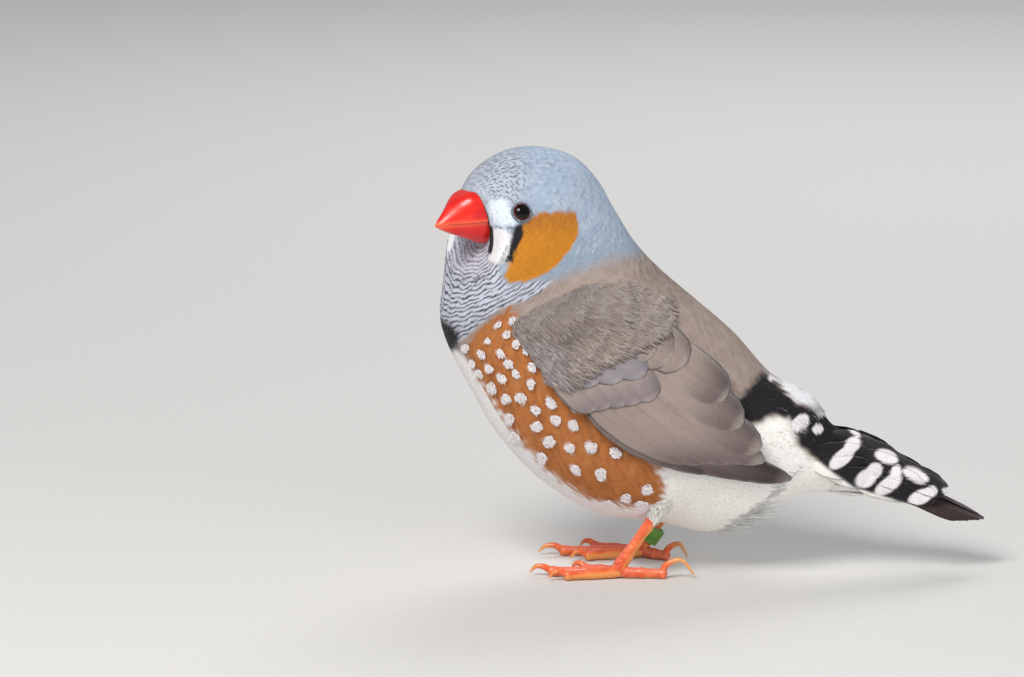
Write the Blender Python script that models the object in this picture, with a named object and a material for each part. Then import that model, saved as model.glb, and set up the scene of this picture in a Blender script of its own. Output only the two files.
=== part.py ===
# Zebra finch, an adult male, life size, standing with its head turned to its left.
# Lengths are in millimetres until the last step, which makes them metres. The bird faces -X,
# its left side is -Y and the floor under its feet is z = 0.

import math
import random

import bmesh
import bpy
import numpy as np
from mathutils import Matrix, Vector

MM = 0.001
BLOCK = 60.0  # side of the blocks that cut
SHAVE = 0.03  # cut off a face that already lies on a cut, so that no two faces are in one plane
GAP = 0.3  # between the faces of neighbouring parts

# The body in chords. Each runs from the outline of the crown and back to that of the throat and belly.
# back x, back z, belly x, belly z, half width, how far down the chord it is widest
STATIONS = np.array([
    (-14.8, 65.6, -11.9, 56.2, 4.1, 0.50),  # round the bill
    (-12.4, 68.0, -12.9, 54.4, 6.6, 0.56),
    (-9.2, 70.3, -14.1, 52.8, 8.3, 0.60),
    (-4.6, 71.8, -15.3, 51.2, 9.4, 0.62),  # eyes
    (0.8, 71.6, -15.9, 49.6, 10.2, 0.63),
    (6.3, 69.7, -16.4, 47.6, 10.9, 0.62),  # cheeks
    (10.7, 65.4, -16.9, 45.8, 11.6, 0.60),
    (13.3, 60.6, -17.2, 43.6, 12.6, 0.57),  # neck
    (16.1, 55.8, -17.0, 40.8, 13.6, 0.54),
    (20.4, 51.3, -15.8, 37.0, 14.8, 0.52),  # shoulders
    (26.4, 46.2, -12.8, 31.0, 15.8, 0.51),
    (33.0, 40.4, -7.8, 22.4, 16.2, 0.50),
    (38.9, 33.8, -0.6, 14.6, 15.8, 0.50),
    (43.6, 31.3, 9.0, 8.8, 14.2, 0.50),  # thighs
    (46.9, 28.9, 19.0, 7.2, 12.2, 0.50),
    (49.0, 25.4, 29.0, 5.4, 9.8, 0.50),  # vent
    (51.2, 23.9, 37.4, 9.4, 7.6, 0.50),
    (54.5, 21.8, 45.0, 12.0, 5.9, 0.50),
    (58.6, 19.3, 53.0, 11.7, 4.8, 0.50),
    (63.0, 16.6, 60.0, 11.2, 4.2, 0.50),
])
FULLNESS = 0.92  # under 1 makes the sections fuller than an ellipse
SECTION_SIDES = 28
ROWS_PER_STATION = 2

# Head turn, about the upright line through the neck
HEAD_TURN = math.radians(32)
TURN_SLOPE, TURN_LOW, TURN_HIGH = 0.46, 43.0, 59.5

# Cuts across the body, each as the two ends of its line in the side view
HEAD_CUT = ((11.0, 62.6), (-16.4, 48.2))
NECK_CUT = ((24.0, 48.0), (-16.6, 36.0))
RUMP_CUT = ((41.6, 32.6), (32.6, 5.0))
TAIL_CUT = ((50.0, 25.0), (43.4, 11.4))

# Bill: culmen x z, lower edge x z, half width
BILL = np.array([
    (-20.4, 60.0, -20.3, 59.5, 0.25),
    (-20.0, 60.8, -19.2, 58.9, 1.0),
    (-19.1, 62.0, -17.6, 58.2, 1.8),
    (-18.0, 63.4, -15.9, 57.6, 2.65),
    (-16.7, 64.6, -14.0, 56.9, 3.45),
    (-15.1, 65.5, -12.2, 56.2, 4.05),
])
MOUTH = ((-22.0, 59.3), (-18.6, 60.0), (-15.2, 60.2), (-11.0, 60.5))
BILL_FULLNESS = 0.9
BILL_RINGS, BILL_SIDES = 11, 16
NOSTRIL = (-14.1, 2.4, 64.2, 0.45)  # x, y of the left and right one, z, radius
MOUTH_REACH, MOUTH_WIDTH = 30.0, 12.0

EYE_PLACE = (-9.2, 62.4)  # x and z in the side view, before the head turns
EYE_RADIUS, EYE_SUNK = 1.75, 1.05
LID_RADIUS, LID_THICKNESS, LID_STEPS = 1.72, 0.42, 18

PALM_RADIUS = 1.5
BAND_RADIUS, BAND_WALL, BAND_HEIGHT, BAND_STEPS = 1.9, 0.5, 2.8, 24
BAND_PLACE = 0.38  # along the right shank from the foot

# Wing feathers in the side view: how many, the line of their roots, the line of their tips, the width
# of one, its height over the body at root and tip, and how far its lower edge is raised
WING_TIERS = {
    "primaries": (6, (7.0, 29.4), (12.0, 30.4), (23.0, 21.8), (41.3, 17.0), 4.2, 0.5, 0.7, 0.25),
    "secondaries": (5, (9.0, 30.6), (14.0, 36.4), (33.4, 20.2), (37.9, 20.9), 5.8, 0.9, 1.0, 0.25),
    "tertials": (3, (13.0, 34.6), (19.6, 41.0), (37.2, 22.4), (30.8, 32.2), 7.6, 1.3, 1.3, 0.3),
    "greater_coverts": (6, (1.0, 34.4), (12.0, 43.0), (8.0, 30.8), (19.0, 33.0), 5.6, 1.4, 1.8, 0.3),
    "median_coverts": (5, (-2.0, 39.6), (9.0, 46.0), (5.2, 34.8), (15.8, 38.0), 5.4, 1.7, 2.1, 0.3),
    "scapulars": (5, (5.0, 46.6), (15.0, 47.4), (14.0, 41.4), (24.2, 38.6), 5.6, 1.8, 1.8, 0.3),
}
VANE_THICKNESS = 0.55
WING_PAD = ((-3.0, 40.0), (3.0, 30.6), (10.0, 27.0), (18.0, 25.0), (25.0, 26.0), (26.0, 33.0),
            (21.0, 40.0), (13.0, 46.0), (4.0, 47.0))
WING_PAD_RINGS = ((0.2, -1.5), (1.0, -1.5), (1.0, 0.3), (0.9, 1.1), (0.7, 1.6), (0.35, 1.7), (0.1, 1.7))
VANE_SHAPE = ((0.0, 0.45), (0.2, 0.8), (0.45, 1.0), (0.7, 0.98), (0.88, 0.78), (1.0, 0.22))

# Tail feathers
TAIL_ROOT, TAIL_TIP = (49.6, 19.6), (74.7, 8.2)
TAIL_PAIRS, TAIL_VANE_WIDTH, TAIL_SPREAD, TAIL_STACK = 6, 5.2, 0.62, 0.5
TAIL_SHORTER = 0.5
TAIL_SEED, TAIL_VARIES, COVERT_VARIES = 5, 0.06, 2.5
TAIL_ROOT_STACK, TAIL_ROOT_OUT, TAIL_ROOF = 0.25, 0.6, -0.25
COVERT_HEIGHT, COVERT_SHIFT = 0.1, 0.1
# Coverts round the tail: station of the root, angles round the body, length, how far the tip stands off,
# and width
TAIL_COVERTS = (
    (15.6, (-22, 22), 12.0, 0.2, 5.0),
    (16.2, (0, -46, 46), 12.5, 0.2, 5.0),
    (17.0, (-18, 18, -68, 68), 11.0, 0.1, 4.6),
    (16.4, (180, 140, -140), 12.5, 0.2, 5.0),
    (17.2, (162, -162, 112, -112), 9.0, -0.2, 4.6),
)

# Each leg: the knee, the cuff where the feathers end, the foot, and the toes as paths that end in a claw
LEGS = {
    "left": {
        "side": -1, "knee": (22.8, -8.8, 18.0), "cuff": (18.3, -8.2, 9.2), "foot": (13.2, -8.2, 2.0),
        "middle": ((12.6, -8.1, 0.8), (6.6, -7.5, 0.72), (1.6, -7.0, 0.66),
                   (-0.4, -6.8, 1.3), (-1.7, -6.6, 0.5)),
        "outer": ((12.6, -8.6, 0.8), (8.0, -9.7, 0.72), (4.2, -10.3, 0.66),
                  (2.6, -10.5, 1.2), (1.5, -10.6, 0.45)),
        "inner": ((12.6, -7.6, 0.8), (9.6, -5.9, 0.72), (7.4, -4.8, 0.66),
                  (6.2, -4.2, 1.2), (5.2, -3.7, 0.45)),
        "hind": ((13.2, -8.4, 0.8), (17.4, -8.7, 0.72), (20.8, -8.9, 0.66),
                 (22.8, -9.0, 2.6), (25.6, -9.1, 0.5)),
    },
    "right": {
        "side": 1, "knee": (26.0, 8.8, 15.5), "cuff": (21.2, 8.2, 7.4), "foot": (17.3, 8.2, 2.0),
        "middle": ((16.7, 8.2, 0.8), (9.4, 8.9, 0.72), (3.6, 9.4, 0.66),
                   (1.2, 9.5, 1.4), (-0.2, 9.5, 0.5)),
        "outer": ((16.7, 8.7, 0.8), (12.0, 11.2, 0.72), (9.2, 13.0, 0.66),
                  (7.8, 13.8, 1.2), (6.8, 14.2, 0.45)),
        "inner": ((16.7, 7.7, 0.8), (11.4, 6.2, 0.72), (7.8, 5.2, 0.66),
                  (6.2, 4.8, 1.2), (5.1, 4.5, 0.45)),
        "hind": ((17.3, 8.0, 0.8), (19.6, 6.4, 0.72), (21.6, 5.4, 0.66),
                 (23.0, 4.9, 2.6), (24.9, 4.3, 0.5)),
    },
}
TOES = ("middle", "outer", "inner", "hind")
THIGH_RADII = (4.6, 4.4, 3.6, 1.7)  # in the body, at the knee, below it, at the cuff
SHANK_RADII = (1.15, 0.95, 0.85, 0.9, 1.1)  # from the cuff to the foot
SHANK_SHARES = (0.0, 0.2, 0.5, 0.85, 1.0)
PALM_DROP = 0.4  # how far the middle of the palm lies below the foot's own point
TOE_RADII = (0.95, 0.9, 0.8, 0.5, 0.14)

SHARP_ANGLE = math.radians(40)
# Base colour and roughness
COLOURS = {
    "bill": ((0.80, 0.03, 0.01), 0.25),
    "eye": ((0.02, 0.005, 0.004), 0.08),
    "head": ((0.40, 0.46, 0.53), 0.85),
    "neck": ((0.55, 0.56, 0.60), 0.85),
    "torso": ((0.45, 0.22, 0.10), 0.85),
    "rump": ((0.75, 0.74, 0.70), 0.85),
    "tail": ((0.03, 0.025, 0.03), 0.7),
    "wing": ((0.27, 0.23, 0.21), 0.8),
    "leg": ((0.75, 0.22, 0.06), 0.5),
    "thigh": ((0.45, 0.22, 0.10), 0.85),
    "band": ((0.09, 0.25, 0.04), 0.35),
}


def smooth_at(rows, place):
    """The row at a place between the given rows, on a curve through them all."""
    i = min(max(int(place), 0), len(rows) - 2)
    f = place - i
    a, b, c, d = (rows[min(max(i + k, 0), len(rows) - 1)] for k in (-1, 0, 1, 2))
    return 0.5 * (2 * b + (c - a) * f + (2 * a - 5 * b + 4 * c - d) * f**2 + (3 * b - a - 3 * c + d) * f**3)


def body_point(place, angle):
    """A point of the body with the head straight. Angle 0 is the back, half a turn the belly, the left between."""
    back_x, back_z, belly_x, belly_z, half_width, widest = smooth_at(STATIONS, place)
    down = (1 - math.cos(angle)) / 2 + (widest - 0.5) * math.sin(angle) ** 2
    side = math.copysign(abs(math.sin(angle)) ** FULLNESS, math.sin(angle))
    x = back_x + (belly_x - back_x) * down
    z = back_z + (belly_z - back_z) * down
    return Vector((x, -half_width * side, z))


def solve(function, low, high, steps=40):
    """Where a function that rises from below 0 crosses 0."""
    for _ in range(steps):
        middle = (low + high) / 2
        low, high = (low, middle) if function(middle) > 0 else (middle, high)
    return (low + high) / 2


def place_of(x, z):
    """The station and angle of the left side of the body seen at x and z from the side."""
    def ahead(place):
        back_x, back_z, belly_x, belly_z = smooth_at(STATIONS, place)[:4]
        return -((x - back_x) * (back_z - belly_z) - (z - back_z) * (back_x - belly_x))

    place = solve(ahead, 0.0, len(STATIONS) - 1.0)
    back_x, back_z, belly_x, belly_z, _, widest = smooth_at(STATIONS, place)
    length = (belly_x - back_x) ** 2 + (belly_z - back_z) ** 2
    wanted = ((x - back_x) * (belly_x - back_x) + (z - back_z) * (belly_z - back_z)) / length
    wanted = min(max(wanted, 0.0), 1.0)

    def further_down(angle):
        return (1 - math.cos(angle)) / 2 + (widest - 0.5) * math.sin(angle) ** 2 - wanted

    return place, solve(further_down, 0.0, math.pi)


def normal_at(place, angle):
    step = 0.02
    along = body_point(place + step, angle) - body_point(place - step, angle)
    round_it = body_point(place, angle + step) - body_point(place, angle - step)
    return round_it.cross(along).normalized()


def on_side(x, z, height, side=-1):
    """A point at a height over the body's side, seen at x and z from the side."""
    place, angle = place_of(x, z)
    point = body_point(place, angle) + normal_at(place, angle) * height
    point.y *= -side
    return point


def turned(point):
    """Turns the head fully and the neck by less and less towards the shoulders."""
    share = (point.z - TURN_SLOPE * point.x - TURN_LOW) / (TURN_HIGH - TURN_LOW)
    share = min(max(share, 0.0), 1.0)
    return Matrix.Rotation(HEAD_TURN * share * share * (3 - 2 * share), 3, "Z") @ point


def loft(rings):
    """A closed mesh through rings of points, with a fan of triangles on each end."""
    bm = bmesh.new()
    rows = [[bm.verts.new(p) for p in ring] for ring in rings]
    for a, b in zip(rows, rows[1:]):
        for k in range(len(a)):
            n = (k + 1) % len(a)
            bm.faces.new((a[k], a[n], b[n], b[k]))
    for row in (rows[0], rows[-1]):
        middle = bm.verts.new(sum((v.co for v in row), Vector()) / len(row))
        for k in range(len(row)):
            bm.faces.new((row[k], row[(k + 1) % len(row)], middle))
    bmesh.ops.triangulate(bm, faces=bm.faces)
    bmesh.ops.recalc_face_normals(bm, faces=bm.faces)
    return bm


def body_mesh(first, last, swollen=0.0):
    rows = round((last - first) * ROWS_PER_STATION)
    rings = []
    for i in range(rows + 1):
        place = first + (last - first) * i / rows
        ring = []
        for k in range(SECTION_SIDES):
            angle = math.tau * (k + 0.001) / SECTION_SIDES
            ring.append(turned(body_point(place, angle) + normal_at(place, angle) * swollen))
        rings.append(ring)
    return loft(rings)


def keep_behind(bm, line, towards, gap=GAP / 2):
    """Cuts a mesh by the upright plane through a line of the side view and keeps what lies on one side."""
    (x1, z1), (x2, z2) = line
    normal = Vector((z1 - z2, 0, x2 - x1)).normalized() * towards
    bmesh.ops.bisect_plane(
        bm, geom=bm.verts[:] + bm.edges[:] + bm.faces[:], dist=1e-5,
        plane_co=Vector((x1, 0, z1)) + normal * gap, plane_no=normal, clear_inner=True,
    )
    edges = [e for e in bm.edges if e.is_boundary]
    bmesh.ops.triangle_fill(bm, edges=edges, use_dissolve=False, use_beauty=True)
    bmesh.ops.recalc_face_normals(bm, faces=bm.faces)
    return bm


def make_object(name, bm, collection):
    mesh = bpy.data.meshes.new(name)
    bm.to_mesh(mesh)
    bm.free()
    obj = bpy.data.objects.new(name, mesh)
    collection.objects.link(obj)
    return obj


def evaluated_mesh(obj):
    return bpy.data.meshes.new_from_object(obj.evaluated_get(bpy.context.evaluated_depsgraph_get()))


def boolean(obj, operation, cutters, solver="EXACT"):
    """Joins or cuts by all the cutters in one step and removes them."""
    group = bpy.data.collections.new("pieces")
    bpy.context.scene.collection.children.link(group)
    for cutter in cutters:
        for owner in list(cutter.users_collection):
            owner.objects.unlink(cutter)
        group.objects.link(cutter)
    modifier = obj.modifiers.new("pieces", "BOOLEAN")
    modifier.operation = operation
    modifier.operand_type = "COLLECTION"
    modifier.collection = group
    modifier.solver = solver
    mesh = evaluated_mesh(obj)
    obj.modifiers.clear()
    obj.data = mesh
    for cutter in cutters:
        bpy.data.objects.remove(cutter)
    bpy.data.collections.remove(group)
    keep_largest(obj)
    return obj


def keep_largest(obj):
    """Leaves only the largest closed surface of a mesh."""
    bm = bmesh.new()
    bm.from_mesh(obj.data)
    bmesh.ops.remove_doubles(bm, verts=bm.verts, dist=1e-4)
    bmesh.ops.dissolve_degenerate(bm, dist=1e-4, edges=bm.edges)
    left = set(bm.verts)
    shells = []
    while left:
        shell = set()
        front = [left.pop()]
        while front:
            vert = front.pop()
            shell.add(vert)
            for edge in vert.link_edges:
                other = edge.other_vert(vert)
                if other in left:
                    left.discard(other)
                    front.append(other)
        shells.append(shell)
    shells.sort(key=len)
    for shell in shells[:-1]:
        bmesh.ops.delete(bm, geom=list(shell), context="VERTS")
    bmesh.ops.triangulate(bm, faces=bm.faces)
    bm.to_mesh(obj.data)
    bm.free()


def tapered_tube(name, path, collection, steps=2):
    """A round tube through points of x, y, z and radius."""
    rows = np.array(path, dtype=float)
    curve = bpy.data.curves.new(name, "CURVE")
    curve.dimensions = "3D"
    curve.bevel_depth = 1.0
    curve.bevel_resolution = 2
    curve.use_fill_caps = True
    spline = curve.splines.new("POLY")
    count = (len(rows) - 1) * steps + 1
    spline.points.add(count - 1)
    for i in range(count):
        x, y, z, radius = smooth_at(rows, i / steps)
        spline.points[i].co = (x, y, z, 1)
        spline.points[i].radius = radius
    obj = bpy.data.objects.new(name, curve)
    collection.objects.link(obj)
    bpy.context.view_layer.update()
    bm = bmesh.new()
    bm.from_mesh(evaluated_mesh(obj))
    bpy.data.objects.remove(obj)
    bmesh.ops.remove_doubles(bm, verts=bm.verts, dist=1e-4)
    bmesh.ops.recalc_face_normals(bm, faces=bm.faces)
    return make_object(name, bm, collection)


def vane(name, spine, across, widths, thickness, collection):
    """A flat feather along a spine, split into triangles alike on both faces."""
    bm = bmesh.new()
    rows = []
    for point, sideways, width in zip(spine, across, widths):
        last = spine.index(point)
        forward = (spine[min(last + 1, len(spine) - 1)] - spine[max(last - 1, 0)]).normalized()
        lift = sideways.cross(forward).normalized() * thickness / 2
        left, right = point - sideways * width / 2, point + sideways * width / 2
        rows.append([bm.verts.new(p) for p in (left - lift, right - lift, right + lift, left + lift)])
    for a, b in zip(rows, rows[1:]):
        for k in range(4):
            n = (k + 1) % 4
            if k == 2:
                bm.faces.new((a[k], a[n], b[k]))
                bm.faces.new((a[n], b[n], b[k]))
            else:
                bm.faces.new((a[k], a[n], b[n]))
                bm.faces.new((a[k], b[n], b[k]))
    for row in (rows[0], rows[-1]):
        bm.faces.new((row[0], row[1], row[2]))
        bm.faces.new((row[0], row[2], row[3]))
    bmesh.ops.recalc_face_normals(bm, faces=bm.faces)
    return make_object(name, bm, collection)


def head(collection):
    """The head with its lids, open at the sockets."""
    bm = keep_behind(body_mesh(0.0, 9.0), HEAD_CUT, -1)
    obj = make_object("head", bm, collection)
    lids, sockets = [], []
    for side in (-1, 1):
        centre, facing = eye_frame(side)
        ring = bmesh.new()
        bmesh.ops.create_circle(ring, cap_ends=True, segments=6, radius=LID_THICKNESS)
        bmesh.ops.transform(ring, verts=ring.verts, matrix=Matrix.Translation((LID_RADIUS, 0, 0))
                            @ Matrix.Rotation(math.pi / 2, 4, "X"))
        geometry = ring.verts[:] + ring.edges[:] + ring.faces[:]
        bmesh.ops.spin(ring, geom=geometry, cent=(0, 0, 0), axis=(0, 0, 1), angle=math.tau, steps=LID_STEPS,
                       use_merge=True)
        bmesh.ops.delete(ring, geom=[f for f in ring.faces if len(f.verts) > 4], context="FACES_ONLY")
        bmesh.ops.remove_doubles(ring, verts=ring.verts, dist=1e-4)
        bmesh.ops.recalc_face_normals(ring, faces=ring.faces)
        bmesh.ops.transform(ring, verts=ring.verts, matrix=Matrix.Translation(centre + facing * EYE_SUNK)
                            @ facing.to_track_quat("Z", "Y").to_matrix().to_4x4())
        lids.append(make_object("lid", ring, collection))
        sockets.append(ball("socket", centre, EYE_RADIUS + GAP, collection, 20))
    boolean(obj, "UNION", lids)
    return boolean(obj, "DIFFERENCE", sockets)


def eye_frame(side):
    """The centre of an eyeball and the way it faces."""
    place, angle = place_of(*EYE_PLACE)
    surface, facing = body_point(place, angle), normal_at(place, angle)
    if side > 0:
        surface.y, facing.y = -surface.y, -facing.y
    centre = turned(surface - facing * EYE_SUNK)
    return centre, (turned(surface) - centre).normalized()


def ball(name, centre, radius, collection, segments=16):
    bm = bmesh.new()
    bmesh.ops.create_uvsphere(bm, u_segments=segments, v_segments=segments // 2, radius=radius)
    bmesh.ops.translate(bm, verts=bm.verts, vec=centre)
    return make_object(name, bm, collection)


def bill(collection):
    """The two halves of the bill, parted along the mouth, with the nostrils in the upper one."""
    def whole():
        rings = []
        for i in range(BILL_RINGS):
            top_x, top_z, low_x, low_z, half_width = smooth_at(BILL, i / 2)
            ring = []
            for k in range(BILL_SIDES):
                angle = math.tau * (k + 0.5) / BILL_SIDES
                down = (1 - math.cos(angle)) / 2
                ring.append(turned(Vector((
                    top_x + (low_x - top_x) * down,
                    -half_width * math.copysign(abs(math.sin(angle)) ** BILL_FULLNESS, math.sin(angle)),
                    top_z + (low_z - top_z) * down,
                ))))
            rings.append(ring)
        return loft(rings)

    def half(name, up):
        """Everything above or below the mouth line, as a wide block."""
        far = up * MOUTH_REACH
        line = [(x, z - up * GAP / 2) for x, z in MOUTH]
        rings = []
        for y in (-MOUTH_WIDTH, MOUTH_WIDTH):
            ring = [Vector((x, y, z)) for x, z in line]
            ring += [Vector((x, y, z + far)) for x, z in (line[-1], line[0])]
            rings.append([Matrix.Rotation(HEAD_TURN, 3, "Z") @ p for p in ring])
        return make_object(name, loft(rings), collection)

    upper = make_object("bill_upper", whole(), collection)
    lower = make_object("bill_lower", whole(), collection)
    nostrils = []
    for side in (-1, 1):
        x, y, z, radius = NOSTRIL
        place = Vector((x, side * y, z))
        nostrils.append(ball("nostril", Matrix.Rotation(HEAD_TURN, 3, "Z") @ place, radius, collection, 10))
    boolean(upper, "DIFFERENCE", [half("below", -1)] + nostrils)
    boolean(lower, "DIFFERENCE", [half("above", 1)])
    return upper, lower


def eyes(collection):
    made = []
    for name, side in (("eye_left", -1), ("eye_right", 1)):
        made.append(ball(name, eye_frame(side)[0], EYE_RADIUS, collection, 20))
    return made


def body(collection):
    """The neck, the torso and the rump, cut from one body."""
    neck = keep_behind(keep_behind(body_mesh(0.0, 14.0), HEAD_CUT, 1), NECK_CUT, -1)
    torso = keep_behind(keep_behind(body_mesh(3.0, 18.0), NECK_CUT, 1), RUMP_CUT, -1)
    rump = keep_behind(keep_behind(body_mesh(10.0, 19.0), RUMP_CUT, 1), TAIL_CUT, -1)
    return (make_object("neck", neck, collection), make_object("torso", torso, collection),
            make_object("rump", rump, collection))


def wing_vane(name, root, tip, width, low, high, raised, side, collection):
    """A wing feather that lies along the side, with its lower edge over its neighbour."""
    spine, across, widths = [], [], []
    for share, size in VANE_SHAPE:
        x = root[0] + (tip[0] - root[0]) * share
        z = root[1] + (tip[1] - root[1]) * share
        height = low + (high - low) * share
        away = Vector((tip[0] - root[0], tip[1] - root[1])).normalized()
        reach = width * size / 2
        under = on_side(x + away.y * reach, z - away.x * reach, height + raised, side)
        over = on_side(x - away.y * reach, z + away.x * reach, height - raised, side)
        spine.append((under + over) / 2)
        across.append((over - under).normalized())
        widths.append((over - under).length)
    return vane(name, spine, across, widths, VANE_THICKNESS, collection)


def wing(name, side, collection):
    """A folded wing: a thin pad of flesh under the coverts, and its feathers in tiers."""
    corners = np.array(WING_PAD + WING_PAD[:1])
    outline = [Vector(smooth_at(corners, i / 3)) for i in range(3 * len(WING_PAD))]
    middle = sum(outline, Vector((0, 0))) / len(outline)
    rings = []
    for shrink, height in WING_PAD_RINGS:
        rings.append([on_side(*(middle + (p - middle) * shrink), height, side) for p in outline])
    pad = make_object(name, loft(rings), collection)
    pieces = []
    for tier, (count, root_1, root_2, tip_1, tip_2, width, low, high, raised) in WING_TIERS.items():
        for i in range(count):
            t = i / (count - 1)
            root = [a + (b - a) * t for a, b in zip(root_1, root_2)]
            tip = [a + (b - a) * t for a, b in zip(tip_1, tip_2)]
            pieces.append(wing_vane(tier, root, tip, width, low, high, raised, side, collection))
    boolean(pad, "UNION", pieces, "MANIFOLD")
    return boolean(pad, "DIFFERENCE", [clearance(collection)], "MANIFOLD")


def tail(collection):
    """The tail: the end of the body with its coverts, and six pairs of tail feathers."""
    core = make_object("tail", keep_behind(body_mesh(12.0, 18.4), TAIL_CUT, 1), collection)
    root, tip = Vector((TAIL_ROOT[0], 0, TAIL_ROOT[1])), Vector((TAIL_TIP[0], 0, TAIL_TIP[1]))
    along = (tip - root).normalized()
    down = Vector((along.z, 0, -along.x))
    pieces = []
    vary = random.Random(TAIL_SEED)
    for pair in range(TAIL_PAIRS):
        for side in (-1, 1):
            start = root + down * (pair * TAIL_ROOT_STACK + vary.uniform(-TAIL_VARIES, TAIL_VARIES))
            end = tip - along * TAIL_SHORTER * (pair + vary.uniform(0, 0.5)) + down * (pair * TAIL_STACK)
            end += down * vary.uniform(-TAIL_VARIES, TAIL_VARIES)
            sideways = Vector((0, side, TAIL_ROOF)).normalized()
            spine, across, widths = [], [], []
            for share, size in VANE_SHAPE:
                outwards = Vector((0, side * (TAIL_ROOT_OUT + pair * TAIL_SPREAD * share), 0))
                spine.append(start + (end - start) * share + outwards)
                across.append(sideways)
                widths.append(TAIL_VANE_WIDTH * size)
            pieces.append(vane("tail_feather", spine, across, widths, VANE_THICKNESS, collection))
    for root_place, angles, length, lift, width in TAIL_COVERTS:
        for degrees in angles:
            angle = math.radians(degrees + vary.uniform(-COVERT_VARIES, COVERT_VARIES))
            start = body_point(root_place + vary.uniform(-COVERT_SHIFT, COVERT_SHIFT), angle)
            facing = normal_at(root_place, angle)
            forward = body_point(root_place + 0.5, angle) - body_point(root_place - 0.5, angle)
            forward.normalize()
            spine = []
            for share, _ in VANE_SHAPE:
                spine.append(start + forward * length * share + facing * (COVERT_HEIGHT + lift * share))
            across = [facing.cross(forward).normalized()] * len(spine)
            widths = [width * size for _, size in VANE_SHAPE]
            pieces.append(vane("covert", spine, across, widths, VANE_THICKNESS, collection))
    boolean(core, "UNION", pieces)
    return boolean(core, "DIFFERENCE", [block_ahead(TAIL_CUT, collection)])


def block_ahead(line, collection):
    """A block whose rear face lies on a cut across the body."""
    (x1, z1), (x2, z2) = line
    along = Vector((x2 - x1, 0, z2 - z1)).normalized()
    behind = Vector((-along.z, 0, along.x))
    bm = bmesh.new()
    bmesh.ops.create_cube(bm, size=BLOCK)
    turn = Matrix((behind, (0, 1, 0), -along)).transposed().to_4x4()
    middle = Vector(((x1 + x2) / 2, 0, (z1 + z2) / 2))
    bmesh.ops.transform(bm, verts=bm.verts, matrix=Matrix.Translation(
        middle + behind * (GAP / 2 + SHAVE - BLOCK / 2)) @ turn)
    return make_object("block", bm, collection)


def leg(name, leg_sizes, collection):
    """The feathered end of the thigh, and the shank and foot with flat soles, of one side."""
    knee, cuff, foot = (Vector(leg_sizes[k]) for k in ("knee", "cuff", "foot"))
    inner = knee + Vector((-2.0, -leg_sizes["side"] * 2.0, 3.0))
    places = (inner, knee, knee.lerp(cuff, 0.6), cuff)
    thigh = tapered_tube("thigh_" + name, [(*p, r) for p, r in zip(places, THIGH_RADII)], collection)
    boolean(thigh, "DIFFERENCE", [clearance(collection)])
    top = cuff + (foot - cuff).normalized() * GAP
    places = [top.lerp(foot, share) for share in SHANK_SHARES]
    shank = tapered_tube("leg_" + name, [(*p, r) for p, r in zip(places, SHANK_RADII)], collection)
    toes = [ball("palm", foot - Vector((0, 0, PALM_DROP)), PALM_RADIUS, collection, 12)]
    for toe in TOES:
        toes.append(tapered_tube(toe, [(*p, r) for p, r in zip(leg_sizes[toe], TOE_RADII)], collection))
    boolean(shank, "UNION", toes, "MANIFOLD")
    floor = bmesh.new()
    bmesh.ops.create_cube(floor, size=BLOCK)
    bmesh.ops.translate(floor, verts=floor.verts, vec=(foot.x, foot.y, -BLOCK / 2))
    boolean(shank, "DIFFERENCE", [make_object("floor", floor, collection)], "MANIFOLD")
    return thigh, shank


def clearance(collection):
    """The body grown by the gap, to cut what lies against it."""
    return make_object("clearance", body_mesh(3.0, len(STATIONS) - 1.0, GAP), collection)


def leg_band(collection):
    """A plastic ring round the right shank."""
    heel, foot = Vector(LEGS["right"]["cuff"]), Vector(LEGS["right"]["foot"])
    along = (heel - foot).normalized()
    centre = foot.lerp(heel, BAND_PLACE)
    profile = ((BAND_RADIUS, -BAND_HEIGHT / 2), (BAND_RADIUS, BAND_HEIGHT / 2),
               (BAND_RADIUS - BAND_WALL, BAND_HEIGHT / 2), (BAND_RADIUS - BAND_WALL, -BAND_HEIGHT / 2))
    bm = bmesh.new()
    verts = [bm.verts.new((r, 0, h)) for r, h in profile]
    edges = [bm.edges.new((verts[k], verts[(k + 1) % 4])) for k in range(4)]
    bmesh.ops.spin(bm, geom=verts + edges, cent=(0, 0, 0), axis=(0, 0, 1), angle=math.tau, steps=BAND_STEPS,
                   use_merge=True)
    bmesh.ops.remove_doubles(bm, verts=bm.verts, dist=1e-4)
    bmesh.ops.recalc_face_normals(bm, faces=bm.faces)
    bmesh.ops.transform(bm, verts=bm.verts, matrix=Matrix.Translation(centre)
                        @ along.to_track_quat("Z", "Y").to_matrix().to_4x4())
    return make_object("leg_band", bm, collection)


def give_material(obj, key):
    colour, roughness = COLOURS[key]
    material = bpy.data.materials.new(obj.name)
    material.use_nodes = True
    shader = material.node_tree.nodes["Principled BSDF"]
    shader.inputs["Base Color"].default_value = (*colour, 1)
    shader.inputs["Roughness"].default_value = roughness
    obj.data.materials.clear()
    obj.data.materials.append(material)


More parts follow.
